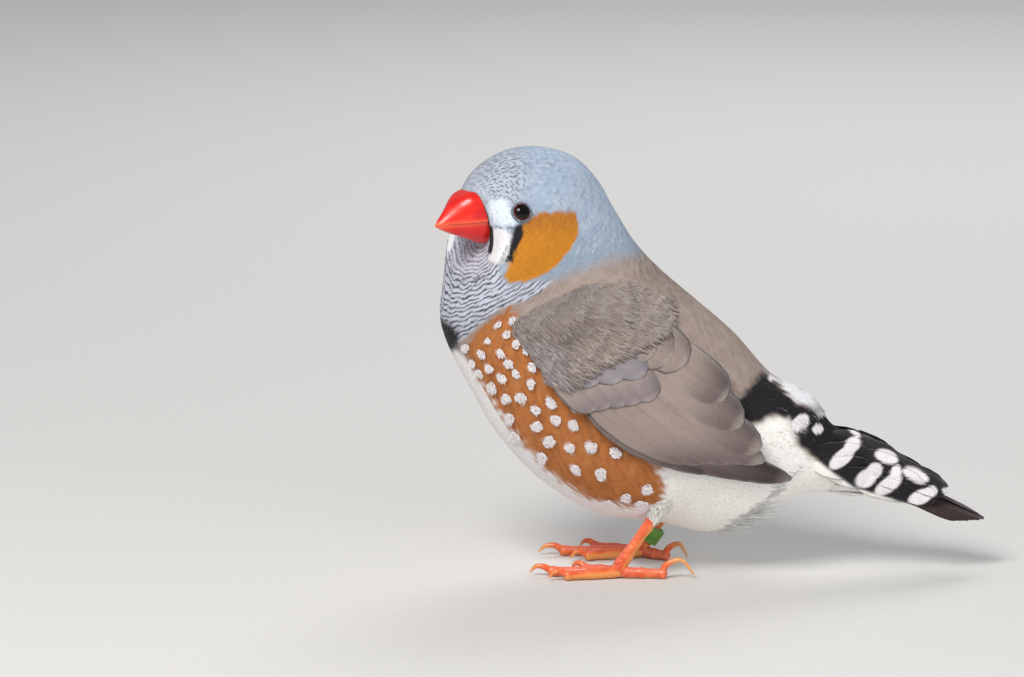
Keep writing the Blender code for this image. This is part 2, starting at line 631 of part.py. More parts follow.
def main():
    for obj in list(bpy.data.objects):
        bpy.data.objects.remove(obj)
    collection = bpy.data.collections.new("zebra_finch")
    bpy.context.scene.collection.children.link(collection)
    parts = [(head(collection), "head")]
    parts += [(half, "bill") for half in bill(collection)]
    parts += [(eye, "eye") for eye in eyes(collection)]
    neck, torso, rump = body(collection)
    parts += [(neck, "neck"), (torso, "torso"), (rump, "rump"), (tail(collection), "tail")]
    parts += [(wing("wing_left", -1, collection), "wing"), (wing("wing_right", 1, collection), "wing")]
    for name, sizes in LEGS.items():
        thigh, shank = leg(name, sizes, collection)
        parts += [(thigh, "thigh"), (shank, "leg")]
    parts.append((leg_band(collection), "band"))
    corners = [v.co for obj, _ in parts for v in obj.data.vertices]
    low = Vector(min(c[k] for c in corners) for k in range(3))
    high = Vector(max(c[k] for c in corners) for k in range(3))
    origin = Vector(((low.x + high.x) / 2, (low.y + high.y) / 2, low.z))
    for obj, key in parts:
        obj.data.transform(Matrix.Scale(MM, 4) @ Matrix.Translation(-origin))
        obj.data.shade_smooth()
        obj.data.set_sharp_from_angle(angle=SHARP_ANGLE)
        give_material(obj, key)


main()
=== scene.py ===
# Zebra finch: plumage, bill, eyes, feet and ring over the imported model.
# Sizes are in millimetres with the head straight; toWorld turns the head and moves to the frame's metres.
import math

import bmesh
import bpy
import numpy as np
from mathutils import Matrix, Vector

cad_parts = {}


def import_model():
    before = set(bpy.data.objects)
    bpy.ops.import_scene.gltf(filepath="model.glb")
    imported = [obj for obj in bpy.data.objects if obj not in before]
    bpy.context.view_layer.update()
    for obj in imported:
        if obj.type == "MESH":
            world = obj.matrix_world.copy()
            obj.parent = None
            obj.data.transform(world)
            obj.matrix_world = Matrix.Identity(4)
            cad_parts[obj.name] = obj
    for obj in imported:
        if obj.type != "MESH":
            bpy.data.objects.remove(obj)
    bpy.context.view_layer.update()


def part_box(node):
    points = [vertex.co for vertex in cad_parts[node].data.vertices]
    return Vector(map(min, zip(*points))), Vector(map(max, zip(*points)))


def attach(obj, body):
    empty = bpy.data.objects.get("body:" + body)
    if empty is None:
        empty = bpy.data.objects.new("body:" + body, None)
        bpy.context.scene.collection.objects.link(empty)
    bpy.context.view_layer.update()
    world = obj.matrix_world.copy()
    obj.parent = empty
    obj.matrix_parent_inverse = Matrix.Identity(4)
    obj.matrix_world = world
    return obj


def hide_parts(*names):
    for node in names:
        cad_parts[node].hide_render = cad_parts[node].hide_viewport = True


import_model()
print("frame loaded")

# The body in chords from the crown and back to the throat and belly, as the model has them:
# back x, back z, belly x, belly z, half width, how far down it is widest
stations = np.array([
    (-14.8, 65.6, -11.9, 56.2, 4.1, 0.50),
    (-12.4, 68.0, -12.9, 54.4, 6.6, 0.56),
    (-9.2, 70.3, -14.1, 52.8, 8.3, 0.60),
    (-4.6, 71.8, -15.3, 51.2, 9.4, 0.62),
    (0.8, 71.6, -15.9, 49.6, 10.2, 0.63),
    (6.3, 69.7, -16.4, 47.6, 10.9, 0.62),
    (10.7, 65.4, -16.9, 45.8, 11.6, 0.60),
    (13.3, 60.6, -17.2, 43.6, 12.6, 0.57),
    (16.1, 55.8, -17.0, 40.8, 13.6, 0.54),
    (20.4, 51.3, -15.8, 37.0, 14.8, 0.52),
    (26.4, 46.2, -12.8, 31.0, 15.8, 0.51),
    (33.0, 40.4, -7.8, 22.4, 16.2, 0.50),
    (38.9, 33.8, -0.6, 14.6, 15.8, 0.50),
    (43.6, 31.3, 9.0, 8.8, 14.2, 0.50),
    (46.9, 28.9, 19.0, 7.2, 12.2, 0.50),
    (49.0, 25.4, 29.0, 5.4, 9.8, 0.50),
    (51.2, 23.9, 37.4, 9.4, 7.6, 0.50),
    (54.5, 21.8, 45.0, 12.0, 5.9, 0.50),
    (58.6, 19.3, 53.0, 11.7, 4.8, 0.50),
    (63.0, 16.6, 60.0, 11.2, 4.2, 0.50),
])
lastStation = len(stations) - 1
fullness = 0.92
headTurn = math.radians(32)
turnSlope, turnLow, turnHigh = 0.46, 43.0, 59.5
eyePlace = (-9.2, 62.4)
eyeSunk = 1.05
eyeRadius = 1.75
uvEdge, uvWide, uvHigh = 0.01, 0.98, 0.86


# A smooth curve through the rows of a table
def smoothAt(rows, place):
    rows = np.asarray(rows, float)
    place = np.atleast_1d(np.asarray(place, float))
    i = np.clip(place.astype(int), 0, len(rows) - 2)
    f = (place - i)[:, None]
    a, b, c, d = (rows[np.clip(i + k, 0, len(rows) - 1)] for k in (-1, 0, 1, 2))
    return 0.5 * (2 * b + (c - a) * f + (2 * a - 5 * b + 4 * c - d) * f**2 + (3 * b - a - 3 * c + d) * f**3)


def unit(v):
    return v / np.maximum(np.linalg.norm(v, axis=-1, keepdims=True), 1e-12)


# How far down its chord a point of the body lies, from 0 at the back to 1 at the belly
def downShare(angle, widest):
    return (1 - np.cos(angle)) / 2 + (widest - 0.5) * np.sin(angle) ** 2


# Points of the body's surface; angle 0 is the back, pi the belly, and the left side lies between
def bodyPoint(place, angle):
    place, angle = np.broadcast_arrays(np.atleast_1d(place), np.atleast_1d(angle))
    backX, backZ, bellyX, bellyZ, half, widest = smoothAt(stations, place).T
    down = downShare(angle, widest)
    side = np.sign(np.sin(angle)) * np.abs(np.sin(angle)) ** fullness
    return np.stack([backX + (bellyX - backX) * down, -half * side, backZ + (bellyZ - backZ) * down], 1)


def bodyNormal(place, angle):
    near = 0.02
    along = bodyPoint(place + near, angle) - bodyPoint(place - near, angle)
    around = bodyPoint(place, angle + near) - bodyPoint(place, angle - near)
    return unit(np.cross(around, along))


# Where a rising function of many values crosses zero, by halving
def halve(ahead, high, count):
    low, high = np.zeros(count), np.full(count, high)
    for _ in range(32):
        middle = (low + high) / 2
        over = ahead(middle) > 0
        low, high = np.where(over, low, middle), np.where(over, middle, high)
    return (low + high) / 2


# The station and angle of the left side seen at x and z
def placeOf(x, z):
    x, z = np.atleast_1d(np.asarray(x, float)), np.atleast_1d(np.asarray(z, float))

    def ahead(place):
        backX, backZ, bellyX, bellyZ = smoothAt(stations, place)[:, :4].T
        return (z - backZ) * (backX - bellyX) - (x - backX) * (backZ - bellyZ)

    place = halve(ahead, float(lastStation), len(x))
    backX, backZ, bellyX, bellyZ, _, widest = smoothAt(stations, place).T
    length = (bellyX - backX) ** 2 + (bellyZ - backZ) ** 2
    wanted = np.clip(((x - backX) * (bellyX - backX) + (z - backZ) * (bellyZ - backZ)) / length, 0, 1)
    return place, halve(lambda angle: downShare(angle, widest) - wanted, math.pi, len(x))


# A point so high over the body on one side, seen at x and z
def onSide(x, z, height, side=-1):
    place, angle = placeOf(x, z)
    point = bodyPoint(place, angle) + bodyNormal(place, angle) * np.reshape(height, (-1, 1))
    point[:, 1] *= -side
    return point


# The head turned to the left, the neck by less and less towards the shoulders
def turned(points):
    points = np.atleast_2d(np.asarray(points, float))
    share = np.clip((points[:, 2] - turnSlope * points[:, 0] - turnLow) / (turnHigh - turnLow), 0, 1)
    turn = headTurn * share * share * (3 - 2 * share)
    x, y, z = points.T
    return np.stack([x * np.cos(turn) - y * np.sin(turn), x * np.sin(turn) + y * np.cos(turn), z], 1)


# The centre of an eyeball and the way it looks, with the head turned
def eyeFrame(side):
    place, angle = placeOf(*eyePlace)
    surface, facing = bodyPoint(place, angle)[0], bodyNormal(place, angle)[0]
    surface[1] *= -side
    facing[1] *= -side
    centre = turned(surface - facing * eyeSunk)[0]
    return centre, unit(turned(surface)[0] - centre)


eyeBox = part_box("eye_left")
origin = eyeFrame(-1)[0] - 500.0 * (np.array(eyeBox[0]) + np.array(eyeBox[1]))


def toWorld(points, turn=True):
    points = np.atleast_2d(np.asarray(points, float))
    return ((turned(points) if turn else points) - origin) / 1000.0


# A colour as seen on a screen, 0 to 255, made linear
def colour(r, g, b):
    c = np.array([r, g, b]) / 255.0
    return np.where(c <= 0.04045, c / 12.92, ((c + 0.055) / 1.055) ** 2.4)


# Node building, shared by the materials and the geometry nodes
class Net:
    def __init__(self, tree):
        self.tree = tree

    # Sockets go by name, with _ for a space, or by number, as in i6; an array is a colour
    def fill(self, node, sockets):
        for key, value in sockets.items():
            numbered = key[0] == "i" and key[1:].isdigit()
            socket = node.inputs[int(key[1:]) if numbered else key.replace("_", " ")]
            if isinstance(value, Wire):
                self.tree.links.new(value.socket, socket)
            elif value is not None:
                socket.default_value = (*value, 1) if isinstance(value, np.ndarray) else value
        return node

    def node(self, kind, settings=None, **sockets):
        made = self.tree.nodes.new(kind)
        for key, value in (settings or {}).items():
            setattr(made, key, value)
        return self.fill(made, sockets)

    def wire(self, kind, settings=None, out=0, **sockets):
        return Wire(self, self.node(kind, settings, **sockets).outputs[out])

    def attribute(self, name, out="Fac"):
        return self.wire("ShaderNodeAttribute", {"attribute_name": name}, out)

    def mix(self, share, a, b, blend="MIX"):
        return self.wire("ShaderNodeMix", {"data_type": "RGBA", "blend_type": blend}, 2, i0=share, i6=a, i7=b)

    def noise(self, scale, detail=3.0, rough=0.55):
        where = self.wire("ShaderNodeTexCoord", None, "Object")
        return self.wire("ShaderNodeTexNoise", Vector=where, Scale=scale, Detail=detail, Roughness=rough)

    def look(self, **values):
        self.fill(self.tree.nodes["Principled BSDF"], values)

    def bump(self, height, strength, distance):
        self.look(Normal=self.wire("ShaderNodeBump", Strength=strength, Distance=distance, Height=height))


# An output socket that sums can be written with
class Wire:
    def __init__(self, net, socket):
        self.net = net
        self.socket = socket

    def math(self, operation, a, b=None):
        return self.net.wire("ShaderNodeMath", {"operation": operation}, i0=a, i1=b)

    def __add__(self, other):
        return self.math("ADD", self, other)

    def __radd__(self, other):
        return self.math("ADD", other, self)

    def __sub__(self, other):
        return self.math("SUBTRACT", self, other)

    def __rsub__(self, other):
        return self.math("SUBTRACT", other, self)

    def __mul__(self, other):
        return self.math("MULTIPLY", self, other)

    def __rmul__(self, other):
        return self.math("MULTIPLY", other, self)

    def sine(self):
        return self.math("SINE", self)

    def size(self):
        return self.math("ABSOLUTE", self)

    # 0 below low and 1 above high, smooth between
    def step(self, low, high):
        return self.net.wire("ShaderNodeMapRange", {"interpolation_type": "SMOOTHSTEP"},
                             Value=self, i1=low, i2=high, i3=0.0, i4=1.0)


def material(name):
    finish = bpy.data.materials.new(name)
    finish.use_nodes = True
    net = Net(finish.node_tree)
    net.finish = finish
    return net


# Meshes
def meshFrom(name, points, faces):
    mesh = bpy.data.meshes.new(name)
    mesh.from_pydata(np.asarray(points).tolist(), [], [tuple(int(k) for k in f) for f in faces])
    mesh.shade_smooth()
    return mesh


def putAttribute(mesh, name, values):
    values = np.asarray(values, np.float32)
    kind = "FLOAT" if values.ndim == 1 else ("FLOAT_COLOR" if values.shape[1] == 4 else "FLOAT_VECTOR")
    key = {"FLOAT": "value", "FLOAT_COLOR": "color", "FLOAT_VECTOR": "vector"}[kind]
    layer = mesh.attributes.get(name) or mesh.attributes.new(name, kind, "POINT")
    layer.data.foreach_set(key, values.ravel())


def putTint(mesh, marks):
    putAttribute(mesh, "tint", np.c_[np.clip(marks, 0, 1), np.ones(len(marks))])


def readAttribute(mesh, name, width=1):
    layer = mesh.attributes[name]
    values = np.empty(len(layer.data) * width, np.float32)
    layer.data.foreach_get("value" if width == 1 else "vector", values)
    return values.reshape(-1, width) if width > 1 else values


def movePoints(mesh, points):
    mesh.vertices.foreach_set("co", toWorld(points).astype(np.float32).ravel())


# Writes OFBake from one UV for each point
def putUv(mesh, pointUv):
    layer = mesh.uv_layers.new(name="OFBake")
    loops = np.empty(len(mesh.loops), np.int32)
    mesh.loops.foreach_get("vertex_index", loops)
    layer.data.foreach_set("uv", np.asarray(pointUv, np.float32)[loops].ravel())


# Where points of the body lie on its UV map; the third value only fills up the vector
def bodyUv(place, angle):
    across = np.mod(angle / math.tau, 1.0) * uvWide + uvEdge
    return np.stack([across, uvEdge + place / lastStation * uvHigh, 0 * place], 1)


def addPiece(name, mesh, finish, nodes=()):
    piece = bpy.data.objects.new(name, mesh)
    bpy.context.scene.collection.objects.link(piece)
    mesh.materials.clear()
    mesh.materials.append(finish)
    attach(piece, "root")
    if nodes:
        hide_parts(*nodes)
    return piece


def circle(count):
    return np.linspace(0, math.tau, count, endpoint=False)


# Every pair of two lists of values, row by row
def pairs(first, second):
    return [values.ravel() for values in np.meshgrid(first, second, indexing="ij")]


def gridFaces(rows, cols, wrap):
    faces = []
    for i in range(rows - 1):
        for k in range(cols if wrap else cols - 1):
            n = (k + 1) % cols
            faces.append((i * cols + k, i * cols + n, (i + 1) * cols + n, (i + 1) * cols + k))
    return faces


# Faces of a grid that closes both ways
def ringFaces(rows, cols):
    faces = []
    for i in range(rows):
        j = (i + 1) % rows
        for k in range(cols):
            n = (k + 1) % cols
            faces.append((i * cols + k, j * cols + k, j * cols + n, i * cols + n))
    return faces


# Faces of a wrapped grid with a fan at each end; the two poles are the last two points
def closedTube(points, cols):
    rows = len(points) // cols
    faces = gridFaces(rows, cols, True)
    for k in range(cols):
        n = (k + 1) % cols
        faces.append((n, k, rows * cols))
        faces.append(((rows - 1) * cols + k, (rows - 1) * cols + n, rows * cols + 1))
    return faces


# A closed mesh from the rows of a tube, with each end's pole in the middle of its row
def capped(points, cols):
    ends = [points[:cols].mean(0), points[-cols:].mean(0)]
    return np.vstack([points, ends]), closedTube(points, cols)


def outward(mesh):
    bm = bmesh.new()
    bm.from_mesh(mesh)
    bmesh.ops.recalc_face_normals(bm, faces=bm.faces)
    bm.to_mesh(mesh)
    bm.free()
    return mesh


# Markings, as outlines on the side of the bird with its head straight, in x and z
cheekEdge = [
    (-7.9, 61.1), (-6, 61.9), (-3.4, 61.7), (-1.1, 62), (1.2, 61.2), (1.6, 59), (0.9, 56.9),
    (-0.8, 54.9), (-2.6, 52.9), (-5, 51.6), (-7.8, 51.0), (-10.9, 50.7), (-12.6, 51.8), (-12.0, 54.2),
    (-10.9, 56.7), (-9.9, 58.6), (-9.1, 60.5),
]
tearEdge = [
    (-10.5, 60.4), (-8.9, 60.6), (-9.4, 58.6), (-10.4, 56.7), (-11.4, 54.2), (-12.4, 54.4),
    (-11.7, 56.7), (-11.2, 58.3),
]
loreEdge = [
    (-13.1, 62.2), (-12.5, 64.2), (-11.0, 64.4), (-10.2, 62.2), (-10.4, 60.4), (-12.6, 60.0),
]
whiteEdge = [
    (-14.5, 59.3), (-11.7, 59.6), (-11.1, 58.5), (-11.5, 56.7), (-12.3, 54.5), (-13.4, 53.9),
    (-14.6, 55.4),
]
greyEdge = [
    (16.5, 53.7), (10.2, 53.4), (4.8, 52.2), (0.4, 51.2), (-3.6, 50.2), (-8.6, 49.2), (-11.5, 48),
    (-13.9, 46.1), (-30, 44), (-30, 90), (30, 90), (30, 55),
]
barEdge = [
    (-13.4, 55.4), (-12.9, 54), (-12.9, 51.8), (-10.9, 50.4), (-7.8, 50.7), (-5, 51.2), (-1.5, 50.6),
    (-3, 48.8), (-6.6, 47.4), (-9.2, 46.6), (-10.9, 44.8), (-12.6, 41.6), (-14.3, 38.6), (-17.5, 37.6),
    (-26, 44), (-26, 60), (-12, 58),
]
breastEdge = [
    (-19, 44.2), (-15.9, 42.6), (-13.9, 40.9), (-13.9, 38.2), (-15.6, 36.4), (-19, 37),
]
chestnutEdge = [
    (-7.9, 47.1), (-2.3, 43.6), (0.2, 39.8), (1.8, 35), (5.1, 32), (9.2, 30), (13.4, 26.6),
    (17.5, 24.1), (20, 19.5), (21.0, 15.9), (20.2, 12.9), (16.6, 12.1), (11.6, 12.0), (7.7, 13.4),
    (2.2, 16.9), (-2.7, 22.0), (-6.9, 27.6), (-10.3, 33.3), (-12.9, 38.3), (-11.5, 42.6),
]
sideBlackEdge = [
    (31.5, 29.5), (33, 31), (35, 32.6), (36.8, 34.2), (38, 33.5), (40, 31.6), (42.7, 29.1), (45.3, 28),
    (46.7, 26.4), (48.8, 27.2), (53, 25), (60, 22), (76, 16), (76, 4), (66, 9.6), (61.7, 11.6),
    (56.7, 13.4), (52.3, 14.8), (48.7, 17.6), (45.3, 20.3), (43, 22.4), (42.2, 24.8), (41.2, 27),
    (38.3, 27.6), (35.2, 26.4), (33, 27.5),
]
streakEdge = [
    (36.2, 37.5), (39, 34.8), (42.7, 33.6), (46.3, 30.6), (48.8, 27.2), (46.7, 26.2), (45.3, 28),
    (42.7, 29.1), (40, 31.6), (37.6, 33.8),
]
whiteSideEdge = [
    (17.5, 24.1), (24, 26), (31, 28), (35.2, 26.4), (38.3, 27.7), (41.1, 27.3), (42.1, 25),
    (42.8, 22.6), (45.3, 20.1), (48.7, 17.4), (52.3, 14.6), (56.7, 13.2), (61.7, 11.4), (68, 9),
    (68, 0), (10, 0), (17, 9), (20.4, 12.6), (21.2, 15.9), (20, 19.5),
]
flankSpots = [
    (-8.3, 43.5), (-5.9, 42), (-9.1, 40.6), (-10, 38.1), (-6.7, 38.6), (-11.6, 36.1), (-12.9, 38.7),
    (-8.7, 35.7), (-10.5, 34.5), (-5.9, 44.4), (-3.5, 43), (-0.8, 41.7), (-4.2, 40.4), (-2.5, 39.3),
    (-5.4, 36.9), (-6.6, 34.2), (-4.2, 35.3), (-8.3, 32.2), (-1.7, 33.7), (-5.9, 30.6), (-3.4, 31),
    (-0.9, 29.1), (1.6, 30.6), (-1.5, 36.6), (-5.3, 27), (-4.6, 23.4), (-0.8, 26.2), (2.4, 27.6),
    (5.7, 30.2), (5.3, 26.9), (0, 20.4), (1.3, 23.6), (4.7, 22.7), (8.3, 23.1), (12.3, 22.3),
    (5.7, 18.8), (9.9, 18.2), (17.6, 15.4), (14.1, 13.6), (16.6, 12.2), (11.4, 12.2),
]
# x, z, half length, half width, slope in degrees
rumpSpots = [
    (38.7, 32.8, 0.95, 0.45, -10), (43.2, 26.0, 1.6, 1.25, 30), (46.2, 24.5, 1.0, 0.75, -20),
    (50.2, 19.9, 2.6, 1.2, 38), (51.9, 21.6, 1.5, 1.0, 20), (52.5, 23.2, 1.1, 0.4, -30),
    (57.7, 19.4, 2.1, 0.95, -20), (54.2, 16.2, 1.9, 1.5, 40), (55.6, 17.4, 1.4, 1.2, 20),
    (58.0, 15.0, 2.6, 1.25, 35), (59.2, 17.0, 1.2, 0.9, 60), (62.6, 16.3, 2.4, 0.9, -25),
    (63.4, 12.8, 2.2, 1.25, 25), (65.0, 13.6, 1.2, 0.9, 0), (68.6, 13.0, 1.7, 0.6, -30),
]
wingEdge = [
    (-6.5, 45), (-2, 47.6), (1.1, 48.9), (9.4, 49.5), (16.4, 47.4), (23.1, 43.9), (26.4, 39.1),
    (32.2, 32.4), (36, 30), (38.4, 22), (41.5, 16.7), (33.3, 18.9), (24.5, 20.9), (15.4, 24.6),
    (10.8, 27), (7, 29), (3.6, 32), (1.8, 35), (-1, 40), (-4, 43),
]
tints = {
    "crown": (172, 188, 208), "crownDark": (116, 130, 152), "crownLight": (214, 222, 232),
    "forehead": (190, 196, 208), "dot": (44, 44, 60), "nape": (150, 166, 184),
    "back": (164, 147, 137), "backDark": (108, 94, 88), "backLight": (184, 170, 161),
    "cheek": (206, 132, 28), "cheekTop": (178, 108, 38), "cheekLight": (226, 152, 44),
    "lore": (226, 236, 247), "white": (242, 243, 246), "throat": (206, 210, 224),
    "throatDark": (170, 172, 192), "bar": (28, 26, 40), "black": (20, 17, 22),
    "chestnut": (186, 113, 56), "chestnutLight": (208, 145, 86), "chestnutDark": (140, 79, 38),
    "spot": (246, 240, 242), "belly": (248, 246, 246), "vent": (252, 250, 244),
}
tints = {name: colour(*shade) for name, shade in tints.items()}


# How far points lie inside an outline, in mm, negative outside
def inside(x, z, outline):
    nearest = np.full(len(x), 1e9)
    within = np.zeros(len(x), bool)
    for (ax, az), (bx, bz) in zip(outline, outline[1:] + outline[:1]):
        dx, dz = bx - ax, bz - az
        t = np.clip(((x - ax) * dx + (z - az) * dz) / (dx * dx + dz * dz), 0, 1)
        nearest = np.minimum(nearest, (x - ax - t * dx) ** 2 + (z - az - t * dz) ** 2)
        crosses = ((az > z) != (bz > z)) & (x < ax + (z - az) * dx / (dz if dz else 1e-9))
        within ^= crosses
    return np.where(within, 1, -1) * np.sqrt(nearest)


def step(value, low, high):
    t = np.clip((value - low) / (high - low), 0, 1)
    return t * t * (3 - 2 * t)


# Rows of colour moved towards a tint, each by its own share
def blend(rows, share, tint):
    return rows + share[:, None] * (tint - rows)


# Soft wandering of about one unit, smooth over about size mm
def wander(points, size, seed):
    rng = np.random.default_rng(seed)
    total = np.zeros(len(points))
    for _ in range(5):
        way = rng.normal(size=3)
        way *= rng.uniform(0.7, 1.4) / (size * np.linalg.norm(way))
        total += np.sin(points @ way * 6.283 + rng.uniform(0, 6.283))
    return total / 2.2


# White on the black of the rump and the tail's sides
def blotches(x, z):
    share = np.zeros(len(x))
    for sx, sz, long, wide, slope in rumpSpots:
        c, s = math.cos(math.radians(slope)), math.sin(math.radians(slope))
        u, v = (x - sx) * c + (z - sz) * s, (z - sz) * c - (x - sx) * s
        share = np.maximum(share, step(1 - np.hypot(u / long, v / wide), -0.12, 0.14))
    return share


# The radius of one flank spot: the lower ones are larger
def spotSize(n, z):
    return 0.60 + 0.32 * min(1.0, max(0.0, (40 - z) / 12)) + 0.10 * math.sin(n * 2.3)


# The plumage colour at points of feathers that grow from a station and an angle of the body;
# tone is a number from 0 to 1 of each feather's own
def plumage(points, root, tone, place, angle):
    own = tone - 0.5
    soft = 0.9 * own
    mixed = 0.5 * points + 0.5 * root
    x = mixed[:, 0] + 0.16 * wander(mixed, 1.6, 3)
    z = mixed[:, 2] + 0.16 * wander(mixed, 1.6, 4)
    sharpX = points[:, 0] + 0.05 * wander(points, 0.9, 5)
    sharpZ = points[:, 2] + 0.05 * wander(points, 0.9, 6)
    near = points[:, 1] < 0
    side = np.abs(points[:, 1])
    around = np.abs(np.where(angle > math.pi, angle - math.tau, angle))
    result = np.tile(tints["back"], (len(x), 1))

    def paint(share, tint):
        result[:] = blend(result, np.clip(share, 0, 1), tints[tint])

    def within(edge, sway, low, high):
        return step(inside(x, z, edge) + sway * soft, low, high)

    def patches(size, seed, low, high, more=0.0):
        return step(wander(root, size, seed) + more, low, high)

    # back, with fine dark streaks that fade below the shoulders
    paint(0.30 * patches(0.8, 11, 0.1, 1.0, soft), "backDark")
    paint(0.35 * patches(3.5, 12, 0.1, 1.2), "backLight")
    paint(0.28 * step(x - z * 0.2, -4, 2) * step(z, 45, 49) * patches(0.6, 13, 0.1, 0.8), "backDark")
    # a darker smudge where the mantle meets the nape
    ridge = np.abs((x - 14) * 0.67 + (z - 56) * 0.74)
    smudge = step(4.0 - ridge, 0, 4.0) * step(x, 11, 15) * step(27 - x, 0, 6)
    paint(0.6 * smudge * patches(1.1, 14, 0, 1.0, 0.3), "backDark")
    # head, with rows of dark dots on the forehead
    grey = inside(x, z, greyEdge)
    fade = np.where(x > 0, 1.9, 0.8)
    paint(step(grey + 2.2 * soft, -fade, fade), "nape")
    paint(step(grey, 2, 9), "crown")
    paint(0.35 * step(grey, 0, 3) * patches(0.7, 21, 0.3, 1.0, own), "crownDark")
    paint(0.45 * step(grey, 1, 3) * patches(1.0, 22, 0.4, 1.2, own), "crownLight")
    front = step(-x - 0.55 * (71 - z), 2.4, 7.4) * step(z, 61, 64.5)
    paint(front * 0.75, "forehead")
    row = place / 0.30
    dots = np.sin(math.tau * row) * np.cos(math.tau * (angle * 10 + 0.5 * np.floor(row)))
    dots = dots + 0.35 * wander(points, 0.7, 23)
    paint(front * step(dots, 0.35, 0.65) * 0.85 * step(5.5 - place, 0, 2.5), "dot")
    paint(0.5 * step(z, 67, 69.5) * patches(0.9, 24, 0.1, 0.9) * step(4 - x, 0, 5), "crownDark")
    # belly and sides
    beneath = step(31 - z - 0.45 * x + 2 * soft, -2, 1)
    paint(beneath * step(40 - x, 0, 6), "belly")
    paint(within(whiteSideEdge, 1.6, -0.8, 0.8), "vent")
    low = step(25.5 - 0.92 * x - z + 1.5 * soft, -1, 1) * step(40 - z, 0, 2) * step(24 - x, -2, 4)
    paint(low, "belly")
    chestnut = step(inside(x, z, chestnutEdge) + 2.2 * soft + 0.5 * wander(root, 1.3, 30), -0.7, 0.7)
    paint(chestnut, "chestnut")
    paint(0.45 * chestnut * patches(2.2, 31, 0, 1.3, own), "chestnutLight")
    paint(0.45 * chestnut * patches(1.2, 32, 0.1, 1.0, 0.4 - tone), "chestnutDark")
    # throat and breast bars, rings round the chin; less of them on the far side, which the bill hides
    bars = within(barEdge, 0.8, -0.5, 0.5)
    chin = step(np.where(near, 4.3, 6.6) - side, 0, 0.6) * step(57.8 - z, 0, 0.5)
    chin = chin * step(z, 49, 52) * step(-8 - x, 0, 2)
    bars = np.maximum(bars, chin)
    paint(bars, "throat")
    paint(bars * 0.3 * patches(2.5, 41, 0, 1.4), "throatDark")
    reach = np.sqrt((sharpX + 12.5) ** 2 + points[:, 1] ** 2 + (sharpZ - 58.5) ** 2)
    reach = reach + 0.07 * wander(points, 1.2, 42) + 0.22 * wander(points, 3.4, 43)
    reach = reach - 0.08 * np.abs(np.sin(angle * 26))
    phase = np.log(1 + 0.032 * reach) / 0.02
    dark = step(np.cos(math.tau * phase), 0.22, 0.72) * step(0.95 + 0.7 * wander(points, 2.1, 44), -0.3, 0.3)
    paint(bars * dark * (0.62 + 0.3 * step(reach, 3, 12)), "bar")
    paint(within(breastEdge, 1.2, -0.8, 0.6) * step(9 - side, 0, 3), "black")
    # face
    cheek = within(cheekEdge, 0.4, -0.25, 0.25)
    paint(cheek, "cheek")
    paint(cheek * 0.7 * step(z, 57.0, 61.5), "cheekTop")
    paint(cheek * 0.35 * patches(1.2, 51, 0.1, 1.2, own), "cheekLight")
    paint(within(loreEdge, 0, -0.4, 0.4) * step(side, 3.5, 5), "lore")
    farFront = np.where(near, 4.5, 6.6)
    paint(within(whiteEdge, 0.3, -0.3, 0.3) * step(side - farFront, -0.2, 0.2), "white")
    paint(within(tearEdge, 0.3, -0.28, 0.22) * step(side, 5.0, 5.6), "black")
    base = step(z + 0.4 * soft, 54.9, 55.4) * step(60.0 - z, 0, 0.3) * step(side, 3.1, 3.4)
    base = base * step(-9 - x, 0, 0.5) * step(5.15 + 0.25 * soft - side, -0.1, 0.2)
    base = base * np.where(near, 1, step(z, 57.5, 58.5))
    thin = step(0.30 + 0.15 * soft - place, -0.05, 0.10) * step(around, 0.4, 0.6) * step(1.9 - around, 0, 0.1)
    line = step(0.22 - np.abs(z - 59.75 - 0.2 * (x + 12)), 0, 0.12) * step(side, 4, 5)
    line = line * step(-10.2 - x, 0, 0.4) * step(0.3 + wander(points, 0.8, 52), 0, 0.6)
    paint(0.7 * line, "bar")
    paint(np.maximum(base, thin), "black")
    # rump and the sides of the tail
    behind = step(x, 29, 31)
    paint(behind * within(sideBlackEdge, 1.0, -0.5, 0.5), "black")
    paint(behind * within(streakEdge, 0.8, -0.5, 0.5), "white")
    paint(behind * blotches(sharpX, sharpZ) * step(side, 0.8, 1.6), "spot")
    # white under the middle of each flank spot, where its own feathers leave gaps
    for n, (sx, sz) in enumerate(flankSpots):
        away = np.hypot(sharpX - sx, (sharpZ - sz) * 0.92)
        paint(step(0.72 * spotSize(n, sz) - away, -0.10, 0.10) * step(side, 1.5, 3), "spot")
    # white feathers vary less
    pale = step(result.min(1), 0.35, 0.7)
    shade = (0.90 + 0.2 * tone) * (1 - pale) + (0.97 + 0.06 * tone) * pale
    return np.clip(result * shade[:, None], 0, 1)


# Feather material: colour from the tint each vertex carries, softened by fine barbs
def featherMaterial(name, barbs, fine, relief, roughness):
    net = material(name)
    tint = net.attribute("tint", "Color")
    cloud = net.noise(900.0, 2.0)
    lines = (net.attribute("along") * barbs + net.attribute("across").size() * (barbs * 0.55)).sine()
    darker = net.mix(1.0, tint, np.array([0.78, 0.76, 0.76]), "MULTIPLY")
    shown = net.mix(lines.step(-1.0, 1.0) * fine + cloud.step(0.45, 0.75) * fine, tint, darker)
    net.look(Base_Color=shown, Roughness=roughness, Sheen_Weight=0.25, Sheen_Roughness=0.45,
             Sheen_Tint=np.array([0.85, 0.88, 0.95]), Specular_IOR_Level=0.25)
    net.bump(lines, relief, 0.00005)
    return net.finish


coatFinish = featherMaterial("small feathers", 14.0, 0.12, 0.25, 0.75)
vaneFinish = featherMaterial("long feathers", 20.0, 0.3, 0.8, 0.6)


